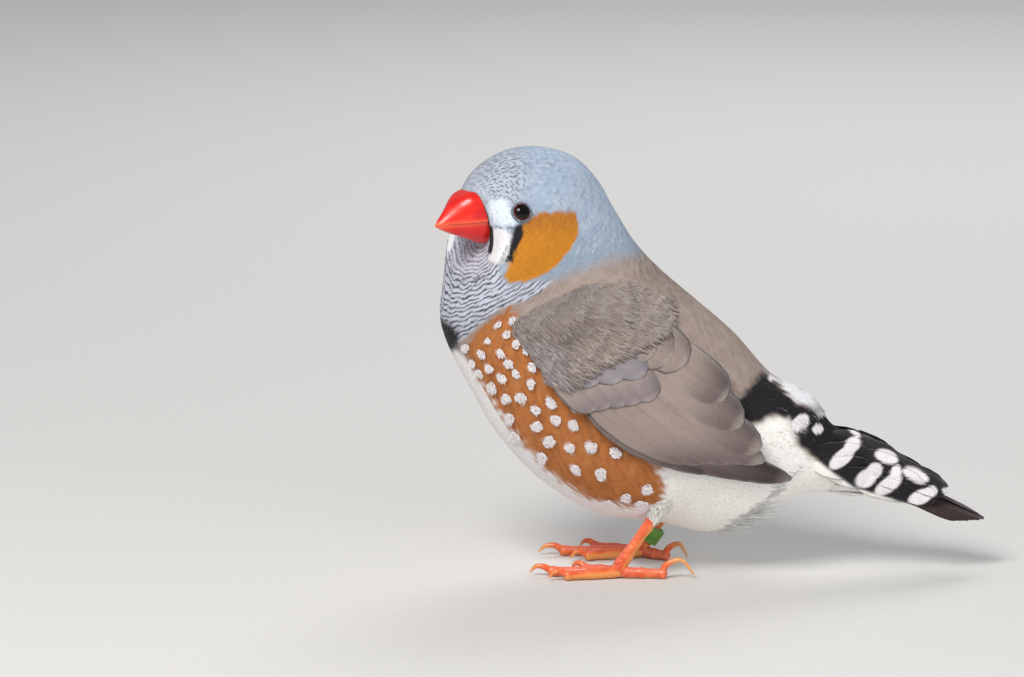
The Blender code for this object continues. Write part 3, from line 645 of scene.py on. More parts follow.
# One small feather, a closed sliver one long and one wide, lying along Y with its top towards Z
def tuftMesh():
    points = [(0, 0, 0)]
    for y, half, high in ((0.38, 0.5, 0.16), (0.78, 0.34, 0.12)):
        points += [(-half, y, 0), (0, y, high), (half, y, 0)]
    points.append((0, 1, 0.02))
    faces = [(0, 2, 1), (0, 3, 2), (0, 1, 3)]
    for a, b in ((1, 2), (2, 3), (3, 1)):
        faces += [(a, b, b + 3), (a, b + 3, a + 3)]
    faces += [(4, 5, 7), (5, 6, 7), (6, 4, 7)]
    mesh = meshFrom("tuft", points, faces)
    points = np.array(points)
    putAttribute(mesh, "along", points[:, 1])
    putAttribute(mesh, "patch", np.stack([points[:, 0] * 0.003, points[:, 1] * 0.003, 0 * points[:, 0]], 1))
    return outward(mesh)


tuft = bpy.data.objects.new("tuft", tuftMesh())
bpy.context.scene.collection.objects.link(tuft)


# Geometry nodes: scatters tufts over a field by its own density, lie, length and width
def coatTree():
    tree = bpy.data.node_groups.new("coat", "GeometryNodeTree")
    for name, kind in (("Geometry", "Geometry"), ("Tuft", "Object"), ("Material", "Material"),
                       ("Seed", "Int"), ("Ruffle", "Float")):
        tree.interface.new_socket(name, in_out="INPUT", socket_type="NodeSocket" + kind)
    tree.interface.new_socket("Geometry", in_out="OUTPUT", socket_type="NodeSocketGeometry")
    net = Net(tree)
    given = tree.nodes.new("NodeGroupInput")
    shape, tuftIn, finishIn, seed, ruffle = (Wire(net, given.outputs[k]) for k in range(5))

    def named(name, kind="FLOAT"):
        return net.wire("GeometryNodeInputNamedAttribute", {"data_type": kind}, Name=name)

    def chance(low, high, salt):
        kind = {"data_type": "FLOAT"}
        return net.wire("FunctionNodeRandomValue", kind, 1, i2=low, i3=high, Seed=seed + salt)

    def keep(geometry, name, value, kind):
        return net.wire("GeometryNodeStoreNamedAttribute", {"data_type": kind, "domain": "POINT"},
                        Geometry=geometry, Name=name, Value=value)

    spread = net.node("GeometryNodeDistributePointsOnFaces", {"distribute_method": "RANDOM"},
                      Mesh=shape, Density=named("density"), Seed=seed)
    normal = Wire(net, spread.outputs["Normal"])
    facing = net.wire("FunctionNodeAlignRotationToVector", {"axis": "Z"}, Vector=normal)
    lying = net.wire("FunctionNodeAlignRotationToVector", {"axis": "Y", "pivot_axis": "Z"},
                     Rotation=facing, Vector=named("lie", "FLOAT_VECTOR"))
    tip = net.wire("ShaderNodeCombineXYZ", X=named("lift") * chance(0.45, 1.6, 5),
                   Y=chance(-3.0, 3.0, 6) * ruffle, Z=chance(-1.0, 1.0, 7) * ruffle)
    turn = net.wire("FunctionNodeEulerToRotation", Euler=tip)
    lying = net.wire("FunctionNodeRotateRotation", {"rotation_space": "LOCAL"},
                     Rotation=lying, Rotate_By=turn)
    wide = named("wide") * chance(0.7, 1.3, 9)
    long = named("long") * chance(0.65, 1.3, 8)
    size = net.wire("ShaderNodeCombineXYZ", X=wide, Y=long, Z=wide * 0.4 + 0.12)
    points = keep(Wire(net, spread.outputs["Points"]), "tone", chance(0.0, 1.0, 10), "FLOAT")
    points = keep(points, "root", net.wire("GeometryNodeInputPosition"), "FLOAT_VECTOR")
    shown = net.wire("GeometryNodeObjectInfo", None, "Geometry", Object=tuftIn)
    many = net.wire("GeometryNodeInstanceOnPoints", Points=points, Instance=shown, Rotation=lying, Scale=size)
    real = net.wire("GeometryNodeRealizeInstances", Geometry=many)
    done = net.wire("GeometryNodeSetMaterial", Geometry=real, Material=finishIn)
    net.node("NodeGroupOutput", i0=done)
    return tree


coatNodes = coatTree()

coat = {
    "depth": 0.9,
    "headDepth": 0.45,
    # name: first and last station, first and last angle, how many, length, width, lift
    "parts": {
        "crown": (0.0, 8.0, -1.05, 1.05, 11000, 1.15, 0.20, 0.15),
        "face_left": (0.0, 8.0, 1.05, 2.15, 13500, 1.0, 0.17, 0.13),
        "face_right": (0.0, 8.0, -2.15, -1.05, 7500, 1.2, 0.22, 0.13),
        "throat": (0.0, 9.5, 2.15, 4.133, 14000, 0.95, 0.19, 0.13),
        "back": (8.0, 13.5, -1.05, 1.05, 8000, 2.1, 0.31, 0.12),
        "breast_left": (8.0, 14.2, 1.72, 2.42, 12000, 1.2, 0.21, 0.15),
        "side_left": (8.0, 14.0, 1.05, 1.72, 4000, 1.8, 0.28, 0.13),
        "breast_right": (8.0, 14.2, -2.42, -1.72, 6500, 1.6, 0.27, 0.15),
        "side_right": (8.0, 14.0, -1.72, -1.05, 3000, 2.0, 0.32, 0.13),
        "belly": (9.5, 14.5, 2.42, 3.863, 7000, 2.6, 0.27, 0.20),
        "rump": (13.5, 19.0, -1.6, 1.6, 6500, 1.9, 0.30, 0.10),
        "vent": (14.0, 19.0, 1.6, 4.683, 7500, 3.0, 0.25, 0.13),
        "belly_down": (9.0, 14.5, 2.35, 3.933, 3000, 5.4, 0.36, 0.60),
        "vent_down": (13.2, 16.6, 2.1, 4.183, 2600, 7.0, 0.28, 0.26),
    },
}


def depthAt(place):
    return coat["headDepth"] + (coat["depth"] - coat["headDepth"]) * step(place, 6, 10)


def skinPoint(place, angle):
    place, angle = np.broadcast_arrays(np.atleast_1d(place).astype(float), np.atleast_1d(angle).astype(float))
    return bodyPoint(place, angle) - bodyNormal(place, angle) * depthAt(place)[:, None]


# The eye's place on each side with the head straight
def eyeHome(side):
    place, angle = placeOf(*eyePlace)
    point = bodyPoint(place, angle)[0]
    point[1] *= -side
    return point


# Gives a field what the geometry nodes read, with the density that makes count feathers
def sow(mesh, count, density, lie, uvRoot, **values):
    total = sum(face.area * density[list(face.vertices)].mean() for face in mesh.polygons)
    putAttribute(mesh, "density", density * count / total)
    putAttribute(mesh, "lie", lie)
    putAttribute(mesh, "uvRoot", uvRoot)
    for name, value in values.items():
        putAttribute(mesh, name, value + np.zeros(len(density)))
    return mesh


def fieldMesh(name, part):
    low, high, first, last, count, long, wide, lift = part
    rows = int((high - low) * 8) + 2
    cols = int((last - first) * 22) + 2
    place, angle = pairs(np.linspace(low, high, rows), np.linspace(first, last, cols))
    points = skinPoint(place, angle)
    mesh = meshFrom(name, points, [f[::-1] for f in gridFaces(rows, cols, False)])
    flow = bodyPoint(np.minimum(place + 0.05, lastStation), angle)
    flow = unit(flow - bodyPoint(np.maximum(place - 0.05, 0), angle))
    flow[:, 2] += 0.10 * wander(points, 7.0, 61)
    flow[:, 0] += 0.10 * wander(points, 7.0, 62)
    # fewer under the wing, none on the eye, more and smaller ones round the bill and the eye
    away = np.minimum(*(np.linalg.norm(points - eyeHome(s), axis=1) for s in (-1, 1)))
    covered = inside(points[:, 0], points[:, 2], wingEdge)
    density = 1 - 0.85 * step(covered, 1.0, 3.0) * (np.abs(points[:, 1]) > 6)
    density *= step(away, 1.75, 1.95)
    small = (0.62 + 0.38 * step(away, 2.2, 7.0)) * (0.6 + 0.4 * step(place, 0.2, 2.4))
    lift = lift * (1 + 0.35 * wander(points, 3.0, 63))
    # loose feathers in locks
    if name.endswith("_down"):
        density *= step(wander(points, 3.0, 66), -0.3, 0.6) + 0.15
    if name == "belly_down":
        lift = lift * (1 + 0.7 * step(13.0 - place, 0, 2.0))
    density *= 1 + 1.3 * (1 - step(place, 0.3, 2.2)) + 0.8 * (1 - step(away, 2.0, 4.5))
    return sow(mesh, count, density, unit(flow), bodyUv(place, angle), lift=lift,
               long=long * small * (1 + 0.12 * wander(points, 4.0, 64)), wide=wide * (0.75 + 0.25 * small))


# Evaluates the coat over one field and gives every feather its colour, place and UV
def growCoat(name, field, seed, paint=plumage, ruffle=0.16):
    holder = bpy.data.objects.new(name + "_field", field)
    bpy.context.scene.collection.objects.link(holder)
    modifier = holder.modifiers.new("coat", "NODES")
    modifier.node_group = coatNodes
    inputs = [item for item in coatNodes.interface.items_tree if item.in_out == "INPUT"][1:]
    for item, value in zip(inputs, (tuft, coatFinish, seed, ruffle)):
        modifier[item.identifier] = value
    graph = bpy.context.evaluated_depsgraph_get()
    graph.update()
    grown = holder.evaluated_get(graph)
    mesh = bpy.data.meshes.new_from_object(grown, preserve_all_data_layers=True, depsgraph=graph)
    holder.modifiers.clear()
    bpy.data.objects.remove(holder)
    points = np.empty(len(mesh.vertices) * 3, np.float32)
    mesh.vertices.foreach_get("co", points)
    points = points.reshape(-1, 3).astype(float)
    root = readAttribute(mesh, "root", 3).astype(float)
    tone = readAttribute(mesh, "tone").astype(float)
    uvRoot = readAttribute(mesh, "uvRoot", 3)
    uv = uvRoot[:, :2] + readAttribute(mesh, "patch", 3)[:, :2]
    across, up = uvRoot[:, :2].astype(float).T
    place, angle = (up - uvEdge) / uvHigh * lastStation, (across - uvEdge) / uvWide * math.tau
    along = readAttribute(mesh, "along")
    # each feather's colour is darkened towards its root: painted shade where the feathers lying over it shade
    # it
    putTint(mesh, paint(points, root, tone, place, angle) * (0.86 + 0.18 * along[:, None]))
    for spare in ("root", "tone", "uvRoot", "patch", "lie", "long", "wide", "lift", "density"):
        if spare in mesh.attributes:
            mesh.attributes.remove(mesh.attributes[spare])
    putUv(mesh, uv)
    movePoints(mesh, points)
    mesh.update()
    mesh.shade_smooth()
    return addPiece("coat_" + name, mesh, coatFinish)


# The skin: one closed surface from the bill to the tail
def skin():
    rows, cols = 190, 200
    place, angle = pairs(np.linspace(0, lastStation, rows), circle(cols))
    points, faces = capped(skinPoint(place, np.where(angle > math.pi, angle - math.tau, angle)), cols)
    mesh = meshFrom("skin", points, faces)
    layer = mesh.uv_layers.new(name="OFBake")
    u = np.append(angle / math.tau, [0.5, 0.5])
    v = np.append(place / lastStation, [0.0, 1.0])
    # the faces that cross the seam on the back take the far edge of the map
    for face in mesh.polygons:
        around = [u[k] for k in face.vertices]
        wraps = max(around) - min(around) > 0.5
        for loop, vertex in zip(face.loop_indices, face.vertices):
            shown = u[vertex] + (1.0 if wraps and u[vertex] < 0.4 else 0.0)
            layer.data[loop].uv = (uvEdge + uvWide * min(shown, 1.0), uvEdge + uvHigh * v[vertex])
    places, angles = np.append(place, [0, lastStation]), np.append(angle, [0, 0])
    putTint(mesh, plumage(points, points, np.full(len(points), 0.35), places, angles) * 0.92)
    movePoints(mesh, points)
    net = material("skin and down")
    cloud = net.noise(2500.0, 4.0)
    tint = net.attribute("tint", "Color")
    darker = net.mix(1.0, tint, np.array([0.86, 0.85, 0.85]), "MULTIPLY")
    net.look(Base_Color=net.mix(cloud.step(0.4, 0.7), tint, darker), Roughness=0.85)
    net.bump(cloud, 0.5, 0.0001)
    nodes = ("head", "neck", "torso", "rump", "thigh_left", "thigh_right")
    return addPiece("skin", outward(mesh), net.finish, nodes)


skin()
print("skin made")
for number, (name, part) in enumerate(coat["parts"].items()):
    piece = growCoat(name, fieldMesh(name, part), 10 + number)
    print("coat", name, len(piece.data.vertices) // len(tuft.data.vertices))


# Long feathers: closed thin vanes, all the feathers of a piece in one mesh
class Vanes:
    def __init__(self, cells):
        self.cells = cells
        self.points, self.faces, self.tint, self.along, self.across, self.uv = [], [], [], [], [], []
        self.count = 0

    # spot(s, t, height) gives points; s runs from root to tip and t from edge to edge
    def add(self, spot, paint, length, camber=0.3, thick=0.14, rows=20, cols=11, shape=None):
        t = np.linspace(-1, 1, cols)
        ring = np.r_[t, t[-2:0:-1]]
        top = np.r_[np.ones(cols), np.zeros(cols - 2)]
        top[[0, cols - 1]] = 0.5
        ss, tt = pairs(np.linspace(0, 1, rows) ** 0.85, ring)
        tops = np.tile(top, rows)
        half = smoothShape(shape or vaneShape, ss)
        height = camber * (1 - tt**2) * half + (tops - 0.5) * thick * (1 - 0.6 * ss)
        base = sum(len(p) for p in self.points)
        points, faces = capped(spot(ss, tt * half, height), len(ring))
        self.points.append(points)
        self.faces += [tuple(base + k for k in f) for f in faces]
        tints = paint(ss, tt, tops)
        self.tint.append(np.vstack([tints, tints[:1], tints[-1:]]))
        self.along.append(np.r_[ss, 0, 1] * length)
        self.across.append(np.r_[tt, 0, 0])
        # each feather has a cell of the map, its top in the left half and its underside in the right
        cellX, cellY = self.count % self.cells, self.count // self.cells
        under = np.tile(np.r_[np.zeros(cols), np.ones(cols - 2)], rows)
        u = (cellX + 0.05 + 0.42 * (tt + 1) / 2 + 0.47 * under) / self.cells
        v = (cellY + 0.05 + 0.9 * ss) / self.cells
        self.uv.append(np.vstack([np.c_[u, v], [[u[0], v[0]], [u[-1], v[-1]]]]))
        self.count += 1

    def piece(self, name, node, turn=False):
        mesh = meshFrom(name, toWorld(np.vstack(self.points), turn), self.faces)
        putTint(mesh, np.vstack(self.tint))
        putAttribute(mesh, "along", np.concatenate(self.along))
        putAttribute(mesh, "across", np.concatenate(self.across))
        putUv(mesh, np.vstack(self.uv))
        return addPiece(name, outward(mesh), vaneFinish, (node,))


vaneShape = ((0, 0.35), (0.15, 0.72), (0.4, 0.98), (0.7, 1.0), (0.86, 0.86), (0.95, 0.58), (1, 0.16))
pointedShape = ((0, 0.35), (0.2, 0.8), (0.45, 1.0), (0.7, 0.96), (0.88, 0.74), (0.96, 0.42), (1, 0.12))


def smoothShape(shape, s):
    return np.interp(s, [a for a, _ in shape], [b for _, b in shape])


wingColours = {
    "primaries": (colour(122, 106, 101), colour(60, 48, 50), colour(168, 154, 146)),
    "secondaries": (colour(158, 141, 133), colour(112, 98, 96), colour(202, 190, 182)),
    "tertials": (colour(164, 147, 138), colour(112, 98, 96), colour(204, 190, 181)),
    "greater": (colour(170, 154, 146), colour(136, 124, 126), colour(196, 182, 174)),
    "median": (colour(166, 152, 146), colour(144, 138, 146), colour(190, 177, 170)),
    "scapulars": (colour(168, 151, 141), colour(150, 134, 127), colour(196, 181, 171)),
}
wingTiers = {
    # how many, first and last root, first and last tip, width, height at root and tip, tilt
    "primaries": (6, (8, 29.8), (13, 31.5), (27, 20.6), (41.4, 17.2), 4.8, 0.3, 0.8, 0.25),
    "secondaries": (6, (8, 31), (14, 37), (26.5, 21.8), (36.6, 20.8), 5.0, 0.7, 0.9, 0.25),
    "tertials": (3, (14, 36), (19, 41.5), (36.0, 22.8), (30.0, 31.2), 7.2, 0.6, 1.1, 0.24),
    "greater": (5, (2, 38), (12, 43.5), (9.5, 30.6), (18.4, 31.6), 6.4, 0.2, 1.2, 0.16),
    "median": (3, (2, 43), (8, 46.5), (9.6, 34.6), (16.8, 35.4), 6.6, 0.0, 1.3, 0.14),
    "scapulars": (3, (10, 46.0), (14, 44.6), (18.4, 38.8), (23.6, 37.0), 7.2, -0.3, 1.3, 0.14),
}


def vanePaint(kind, tone):
    base, tip, fringe = wingColours[kind]

    def paint(s, t, top):
        result = blend(base, step(s, 0.45, 0.95), tip) * (0.92 + 0.16 * tone)
        edge = np.maximum(step(np.abs(t), 0.76, 0.96) * 0.8, step(s, 0.93, 0.99))
        inner = (step(t, -0.2, 0.9) * 0.26 + step(np.abs(t), 0.45, 0.7) * 0.10) * step(s, 0.3, 0.8)
        result = blend(result, edge * 0.85, fringe) * (1 - inner)[:, None]
        result = blend(result, 0.35 * step(np.abs(t), 0.10, 0.0), base * 0.6)
        # the underside of each feather is painted 15% darker than its top: painted shade
        return result * np.where(top > 0.2, 1.0, 0.85)[:, None]

    return paint


def wing(name, side):
    vanes = Vanes(7)
    rng = np.random.default_rng(4)
    for kind, (count, root1, root2, tip1, tip2, width, low, high, tilt) in wingTiers.items():
        for i in range(count):
            share = i / (count - 1)
            root = np.array(root1) + (np.array(root2) - root1) * share + rng.normal(0, 0.12, 2)
            tip = np.array(tip1) + (np.array(tip2) - tip1) * share + rng.normal(0, 0.12, 2)
            length = np.linalg.norm(tip - root)
            away = (tip - root) / length
            bend = (0.05 if kind in ("primaries", "secondaries") else 0.02) * length

            def spot(s, t, height):
                across = t * width / 2 - bend * 4 * s * (1 - s)
                x = root[0] + away[0] * s * length - away[1] * across
                z = root[1] + away[1] * s * length + away[0] * across
                return onSide(x, z, low + (high - low) * s + 0.02 * i - tilt * t + height, side)

            shape = pointedShape if kind == "primaries" else vaneShape
            vanes.add(spot, vanePaint(kind, rng.uniform()), length, camber=0.35, shape=shape)
    return vanes.piece("feathers_" + name, "wing_" + name, turn=True)


wing("left", -1)
wing("right", 1)
print("wings made")


# The lesser coverts: small feathers over the shoulder of the wing
shoulder = {
    "edge": [
        (-6.5, 44.6), (-1, 48), (6, 50.8), (15, 50.6), (21.5, 47.4), (21.0, 43.0), (16.0, 40.4),
        (12.0, 39.2), (8.5, 37.4), (5, 34.6), (1.6, 35.0), (-2.0, 39.6),
    ],
    "rise": [
        (-6.5, 44.6), (-1, 48), (6, 50.8), (15, 50.6), (21.5, 47.4), (30, 40), (20, 20), (6, 24),
        (-1.0, 29.0), (-3.0, 37.0),
    ],
    "height": 2.7, "sunk": 0.85, "rows": 94, "cols": 58, "count": {-1: 5600, 1: 3600},
}


def shoulderPaint(points, root, tone, place, angle):
    result = np.tile(tints["back"], (len(tone), 1))

    def paint(share, tint):
        result[:] = blend(result, share, tint)

    paint(0.5 * step(wander(root, 2.4, 81) + 0.9 * (tone - 0.5), -0.2, 1.4), tints["backLight"])
    paint(0.4 * step(9 - root[:, 0], 0, 8) * step(44 - root[:, 2], 0, 4), colour(150, 146, 158))
    # soft scallops where one covert's pale edge lies over the next
    over, across = 0.7 * (root[:, 0] - root[:, 2]), 0.7 * (root[:, 0] + root[:, 2])
    scallop = np.mod((over + 0.8 * np.abs(np.sin(across * 1.05 + 0.4 * wander(root, 5, 83)))) / 3.1, 1)
    paint(0.55 * step(scallop, 0.62, 0.95) * step(1.0 - scallop, 0, 0.04), tints["backLight"] * 1.15)
    paint(0.45 * step(0.30 - scallop, 0, 0.28), tints["backDark"])
    # lighter than the back's colour: the coverts are a little paler, and the rest is painted light that
    # offsets the shade the tufts cast on each other
    return result * (1.12 + 0.05 * tone[:, None])


def shoulderField(side):
    rows, cols = shoulder["rows"], shoulder["cols"]
    x, z = pairs(np.linspace(-8, 23, rows), np.linspace(33, 52, cols))
    height = (shoulder["height"] * step(inside(x, z, shoulder["rise"]), -0.5, 7.0)).reshape(rows, cols)
    # evened out by taking each point's four neighbours
    for _ in range(10):
        wide = np.pad(height, 1, mode="edge")
        height = (wide[:-2, 1:-1] + wide[2:, 1:-1] + wide[1:-1, :-2] + wide[1:-1, 2:]) / 4
    height = height.ravel() - shoulder["sunk"]
    points = onSide(x, z, height, side)
    mesh = meshFrom("shoulder", points, [f[::-side] for f in gridFaces(rows, cols, False)])
    ahead = onSide(x + 0.5, z - 0.5 * (0.55 + 0.5 * step(8 - x, 0, 8)), height, side)
    place, angle = placeOf(x, z)
    deep = inside(x, z, shoulder["edge"])
    uvRoot = bodyUv(place, -side * angle)
    return sow(mesh, shoulder["count"][side], step(deep, -0.8, 0.6), unit(ahead - points), uvRoot,
               lift=0.06, long=1.7 + 0.6 * step(deep, 2, 6), wide=0.34)


# The white spots of the flanks: small round patches of short white feathers on top of the chestnut
spots = {"depth": 0.5, "rings": 3, "around": 12, "count": {-1: 64, 1: 36}}


def spotPaint(points, root, tone, place, angle):
    return np.tile(tints["spot"], (len(tone), 1)) * (0.96 + 0.06 * tone[:, None])


def thighPaint(points, root, tone, place, angle):
    return np.tile(tints["vent"], (len(tone), 1)) * (0.90 + 0.10 * tone[:, None])


def spotField(side):
    points, faces = [], []
    around = spots["around"]
    for n, (sx, sz) in enumerate(flankSpots):
        middle = len(points)
        sx, sz = sx - 0.15, sz + 0.2
        points.append((sx, sz))
        for ring in range(spots["rings"]):
            out = spotSize(n, sz - 0.2) * (ring + 1) / spots["rings"]
            for k in range(around):
                a = math.tau * k / around
                reach = out * (1 + 0.12 * math.sin(2 * a + n) + 0.08 * math.sin(3 * a + 2.1 * n))
                points.append((sx + reach * math.cos(a), sz + 1.1 * reach * math.sin(a)))
                here = middle + 1 + ring * around + k
                after = middle + 1 + ring * around + (k + 1) % around
                faces.append((here - around, here, after, after - around) if ring else (middle, here, after))
    x, z = np.array(points).T
    mesh = meshFrom("spots", onSide(x, z, -spots["depth"], side), [f[::side] for f in faces])
    mesh.flip_normals()
    place, angle = placeOf(x, z)
    angle = -side * angle
    flow = unit(bodyPoint(place + 0.05, angle) - bodyPoint(place - 0.05, angle))
    return sow(mesh, len(flankSpots) * spots["count"][side], np.ones(len(x)), flow, bodyUv(place, angle),
               lift=0.10, long=0.52, wide=0.22)


# The ends of the thighs: short feathers round the top of each shank
thighs = {
    -1: [(22.4, -8.4, 17.5, 3.4), (20.2, -8.3, 13.2, 2.3), (18.9, -8.2, 10.0, 1.15)],
    1: [(25.4, 8.4, 15.0, 3.4), (23.2, 8.3, 11.2, 2.3), (21.5, 8.2, 8.0, 1.15)],
    "count": 1700, "rows": 14, "cols": 26,
}


def thighField(side):
    rows, cols = thighs["rows"], thighs["cols"]
    path = smoothAt(thighs[side], np.linspace(0, 2, rows))
    ahead = unit(np.gradient(path[:, :3], axis=0))
    across = unit(np.cross(ahead, [0, 1.0, 0]))
    over = np.cross(ahead, across)
    angle = circle(cols)
    points = []
    for i in range(rows):
        ring = np.outer(np.cos(angle), across[i]) + np.outer(np.sin(angle), over[i])
        points.append(path[i, :3] + path[i, 3] * ring)
    mesh = outward(meshFrom("thigh", np.vstack(points), gridFaces(rows, cols, True)))
    # the map's free strip over the body, one half for each thigh
    around, down = np.tile(angle / math.tau, rows), np.repeat(np.linspace(0, 1, rows), cols)
    uvRoot = np.stack([(0.02 if side < 0 else 0.52) + 0.45 * around, 0.90 + 0.08 * down, 0 * down], 1)
    return sow(mesh, thighs["count"], np.ones(rows * cols), np.repeat(ahead, cols, 0), uvRoot,
               lift=0.08, long=1.3, wide=0.2)


sides = (("left", -1), ("right", 1))
for number, (name, side) in enumerate(sides):
    growCoat("thigh_" + name, thighField(side), 50 + number, paint=thighPaint, ruffle=0.08)
for number, (name, side) in enumerate(sides):
    growCoat("shoulder_" + name, shoulderField(side), 40 + number, paint=shoulderPaint, ruffle=0.12)
    growCoat("spots_" + name, spotField(side), 60 + number, paint=spotPaint, ruffle=0.12)
bpy.data.objects.remove(tuft)
print("shoulders made")


# The tail: long feathers, and the black and white coverts over them
tailPlan = {
    "root": (49.6, 0, 19.6), "tip": (74.5, 0, 8.3), "pairs": 6, "width": 5.0, "spread": 0.5, "stack": 0.36,
    # the coverts' rings: station and the angles of the feathers in degrees
    "coverts": (
        (15.4, (-50, -22, 22, 50)), (16.0, (-75, -36, 0, 36, 75)), (16.7, (-92, -55, -20, 20, 55, 92)),
        (17.4, (-100, -70, -36, 0, 36, 70, 100)), (18.1, (-88, -54, -20, 20, 54, 88)),
        (17.3, (135, 165, -165, -135)), (18.2, (125, 150, 180, -150, -125)),
    ),
}


def tailFeathers(vanes, rng, along):
    root, tip = np.array(tailPlan["root"]), np.array(tailPlan["tip"])
    down = np.array([along[2], 0, -along[0]])
    brown, dark, pale = colour(34, 27, 30), colour(66, 48, 44), colour(120, 104, 98)

    def paint(s, t, top):
        result = blend(brown, step(s, 0.4, 0.95), dark)
        return blend(result, step(np.abs(t), 0.86, 1.0) * 0.3, pale)

    for pair in reversed(range(tailPlan["pairs"])):
        for side in (-1, 1):
            start = root + down * (pair * 0.25)
            end = tip - along * 0.9 * (pair + rng.uniform(0, 0.4)) + down * (pair * tailPlan["stack"])
            sideways = unit(np.array([0, side, -0.25]))
            up = unit(np.cross(along, sideways))
            up = up if up[2] > 0 else -up

            def spot(s, t, height):
                base = start + np.outer(s, end - start)
                base[:, 1] += side * (0.6 + pair * tailPlan["spread"] * s)
                return base + np.outer(t * tailPlan["width"] / 2, sideways) + np.outer(height, up)

            vanes.add(spot, paint, 27, camber=0.12, thick=0.2)


# Black with white blotches above and on the sides, cream below
def covertPaint(points):
    x, z = points[:, 0], points[:, 2]
    result = blend(tints["black"] * 1.1, step(inside(x, z, whiteSideEdge), -0.3, 0.3), tints["vent"])
    white = blotches(x, z) * step(np.abs(points[:, 1]), 0.5, 1.2)
    streak = step(inside(x, z, streakEdge), -0.3, 0.3)
    return blend(result, np.maximum(white, streak), tints["spot"])


def tailCoverts(vanes, rng, along):
    for place, degrees in [(place, degrees) for place, angles in tailPlan["coverts"] for degrees in angles]:
        below = abs(degrees) > 100
        angle = math.radians(degrees + rng.uniform(-3, 3))
        start, facing = bodyPoint(place, angle)[0], bodyNormal(place, angle)[0]
        forward = unit(bodyPoint(min(place + 0.5, lastStation), angle)[0] - bodyPoint(place - 0.5, angle)[0])
        forward = unit(forward + 0.3 * along)
        sideways = unit(np.cross(facing, forward))
        length = rng.uniform(9.5, 11.0) - (3.6 if below else 0)

        def spot(s, t, height):
            rise = np.full(len(s), -1.0) if below else step(s, 0.0, 0.35) - 0.95 + 0.25 * s
            outline = start + np.outer(s * length, forward) + np.outer(rise + height, facing)
            return outline + np.outer(t * 2.1, sideways)

        def paint(s, t, top):
            if below:
                return np.tile(tints["vent"], (len(s), 1)) * (0.94 + 0.06 * s)[:, None]
            return covertPaint(spot(s, t * smoothShape(vaneShape, s), np.zeros(len(s))))

        vanes.add(spot, paint, length, camber=0.2, thick=0.12, rows=30, cols=15)


def tail():
    vanes = Vanes(8)
    rng = np.random.default_rng(5)
    along = unit(np.array(tailPlan["tip"]) - tailPlan["root"])
    tailFeathers(vanes, rng, along)
    tailCoverts(vanes, rng, along)
    return vanes.piece("feathers_tail", "tail")


tail()
print("tail made")


# Bill: two closed halves that meet along the mouth line
bill = {
    "rows": [
        (-20.4, 60.0, -20.3, 59.5, 0.2), (-20.0, 60.45, -19.2, 58.9, 0.85), (-19.1, 61.55, -17.6, 58.2, 1.6),
        (-18.0, 62.9, -15.9, 57.6, 2.45), (-16.8, 64.0, -14.0, 56.9, 3.35), (-15.2, 64.9, -12.2, 56.2, 4.05),
        (-13.4, 65.4, -10.6, 56.0, 4.2),
    ],
    "mouth": ((-22, -18.6, -15.2, -11, -9), (59.3, 60.0, 60.2, 60.5, 60.7)),
    # how far along the rows the horn goes, and how each half's section narrows at the tip and less so behind
    "last": 5.6, "upper": (1.3, 0.78), "lower": (0.85, 0.1),
    "gap": 0.045, "nostril": (-14.2, 64.9, 0.3),
}


def billHalf(name):
    rows, cols = 90, 120
    place, angle = pairs(np.linspace(0, bill["last"], rows), circle(cols))
    backX, backZ, lowX, lowZ, half = smoothAt(bill["rows"], place).T
    square, less = bill[name]
    down = (1 - np.cos(angle)) / 2
    side = np.sign(np.sin(angle)) * np.abs(np.sin(angle)) ** (square - less * step(place, 2.2, 5.0))
    x, y, z = backX + (lowX - backX) * down, -np.maximum(half, 0.05) * side, backZ + (lowZ - backZ) * down
    seam = np.interp(x, *bill["mouth"])
    if name == "upper":
        wide = np.abs(y)
        z = np.maximum(z, seam + bill["gap"] / 2)
        noseX, noseZ, noseSize = bill["nostril"]
        y = y * (1 - 0.07 * (1 - step(np.hypot(x - noseX, z - noseZ), 0.1, noseSize)) * (wide > 1))
        y = y * (1 + 0.03 * step(z - seam, 0.6, 0.05) * step(wide, 0.5, 1.5))
    else:
        z = np.minimum(z, seam - bill["gap"] / 2)
        y = y * 0.97
    points, faces = capped(np.stack([x, y, z], 1), cols)
    mesh = meshFrom(name, toWorld(points), faces)
    putAttribute(mesh, "along", np.r_[place, 0, bill["last"]])
    putAttribute(mesh, "across", np.r_[z - seam, 0, 0])
    return addPiece("bill_" + name + "_horn", outward(mesh), billFinish, ("bill_" + name,))


def billMaterial():
    net = material("bill horn")
    cloud, fine = net.noise(420.0, 4.0), net.noise(2600.0)
    along = net.attribute("along")
    lip = net.attribute("across").size().step(0.0, 0.9)
    red = net.mix(cloud.step(0.35, 0.7), colour(214, 14, 4), colour(236, 40, 14))
    base = net.mix(along.step(4.2, 5.3) * 0.35, red, colour(190, 14, 10))
    tipped = net.mix(along.step(1.5, 0.2) * 0.5, base, colour(255, 110, 60))
    # a pale band along the mouth line, where the two halves meet: a painted highlight on the edge of the horn
    mouthHighlight = net.mix(0.35 - lip * 0.35, tipped, colour(255, 140, 90))
    net.look(Base_Color=mouthHighlight, Roughness=fine * 0.25 + 0.22, Specular_IOR_Level=0.5, Coat_Weight=0.35,
             Coat_Roughness=0.18, Subsurface_Weight=0.05, Subsurface_Scale=0.0012,
             Subsurface_Radius=(1.0, 0.25, 0.1))
    net.bump(cloud + fine * 0.4, 0.12, 0.00012)
    return net.finish


billFinish = billMaterial()
billHalf("upper")
billHalf("lower")


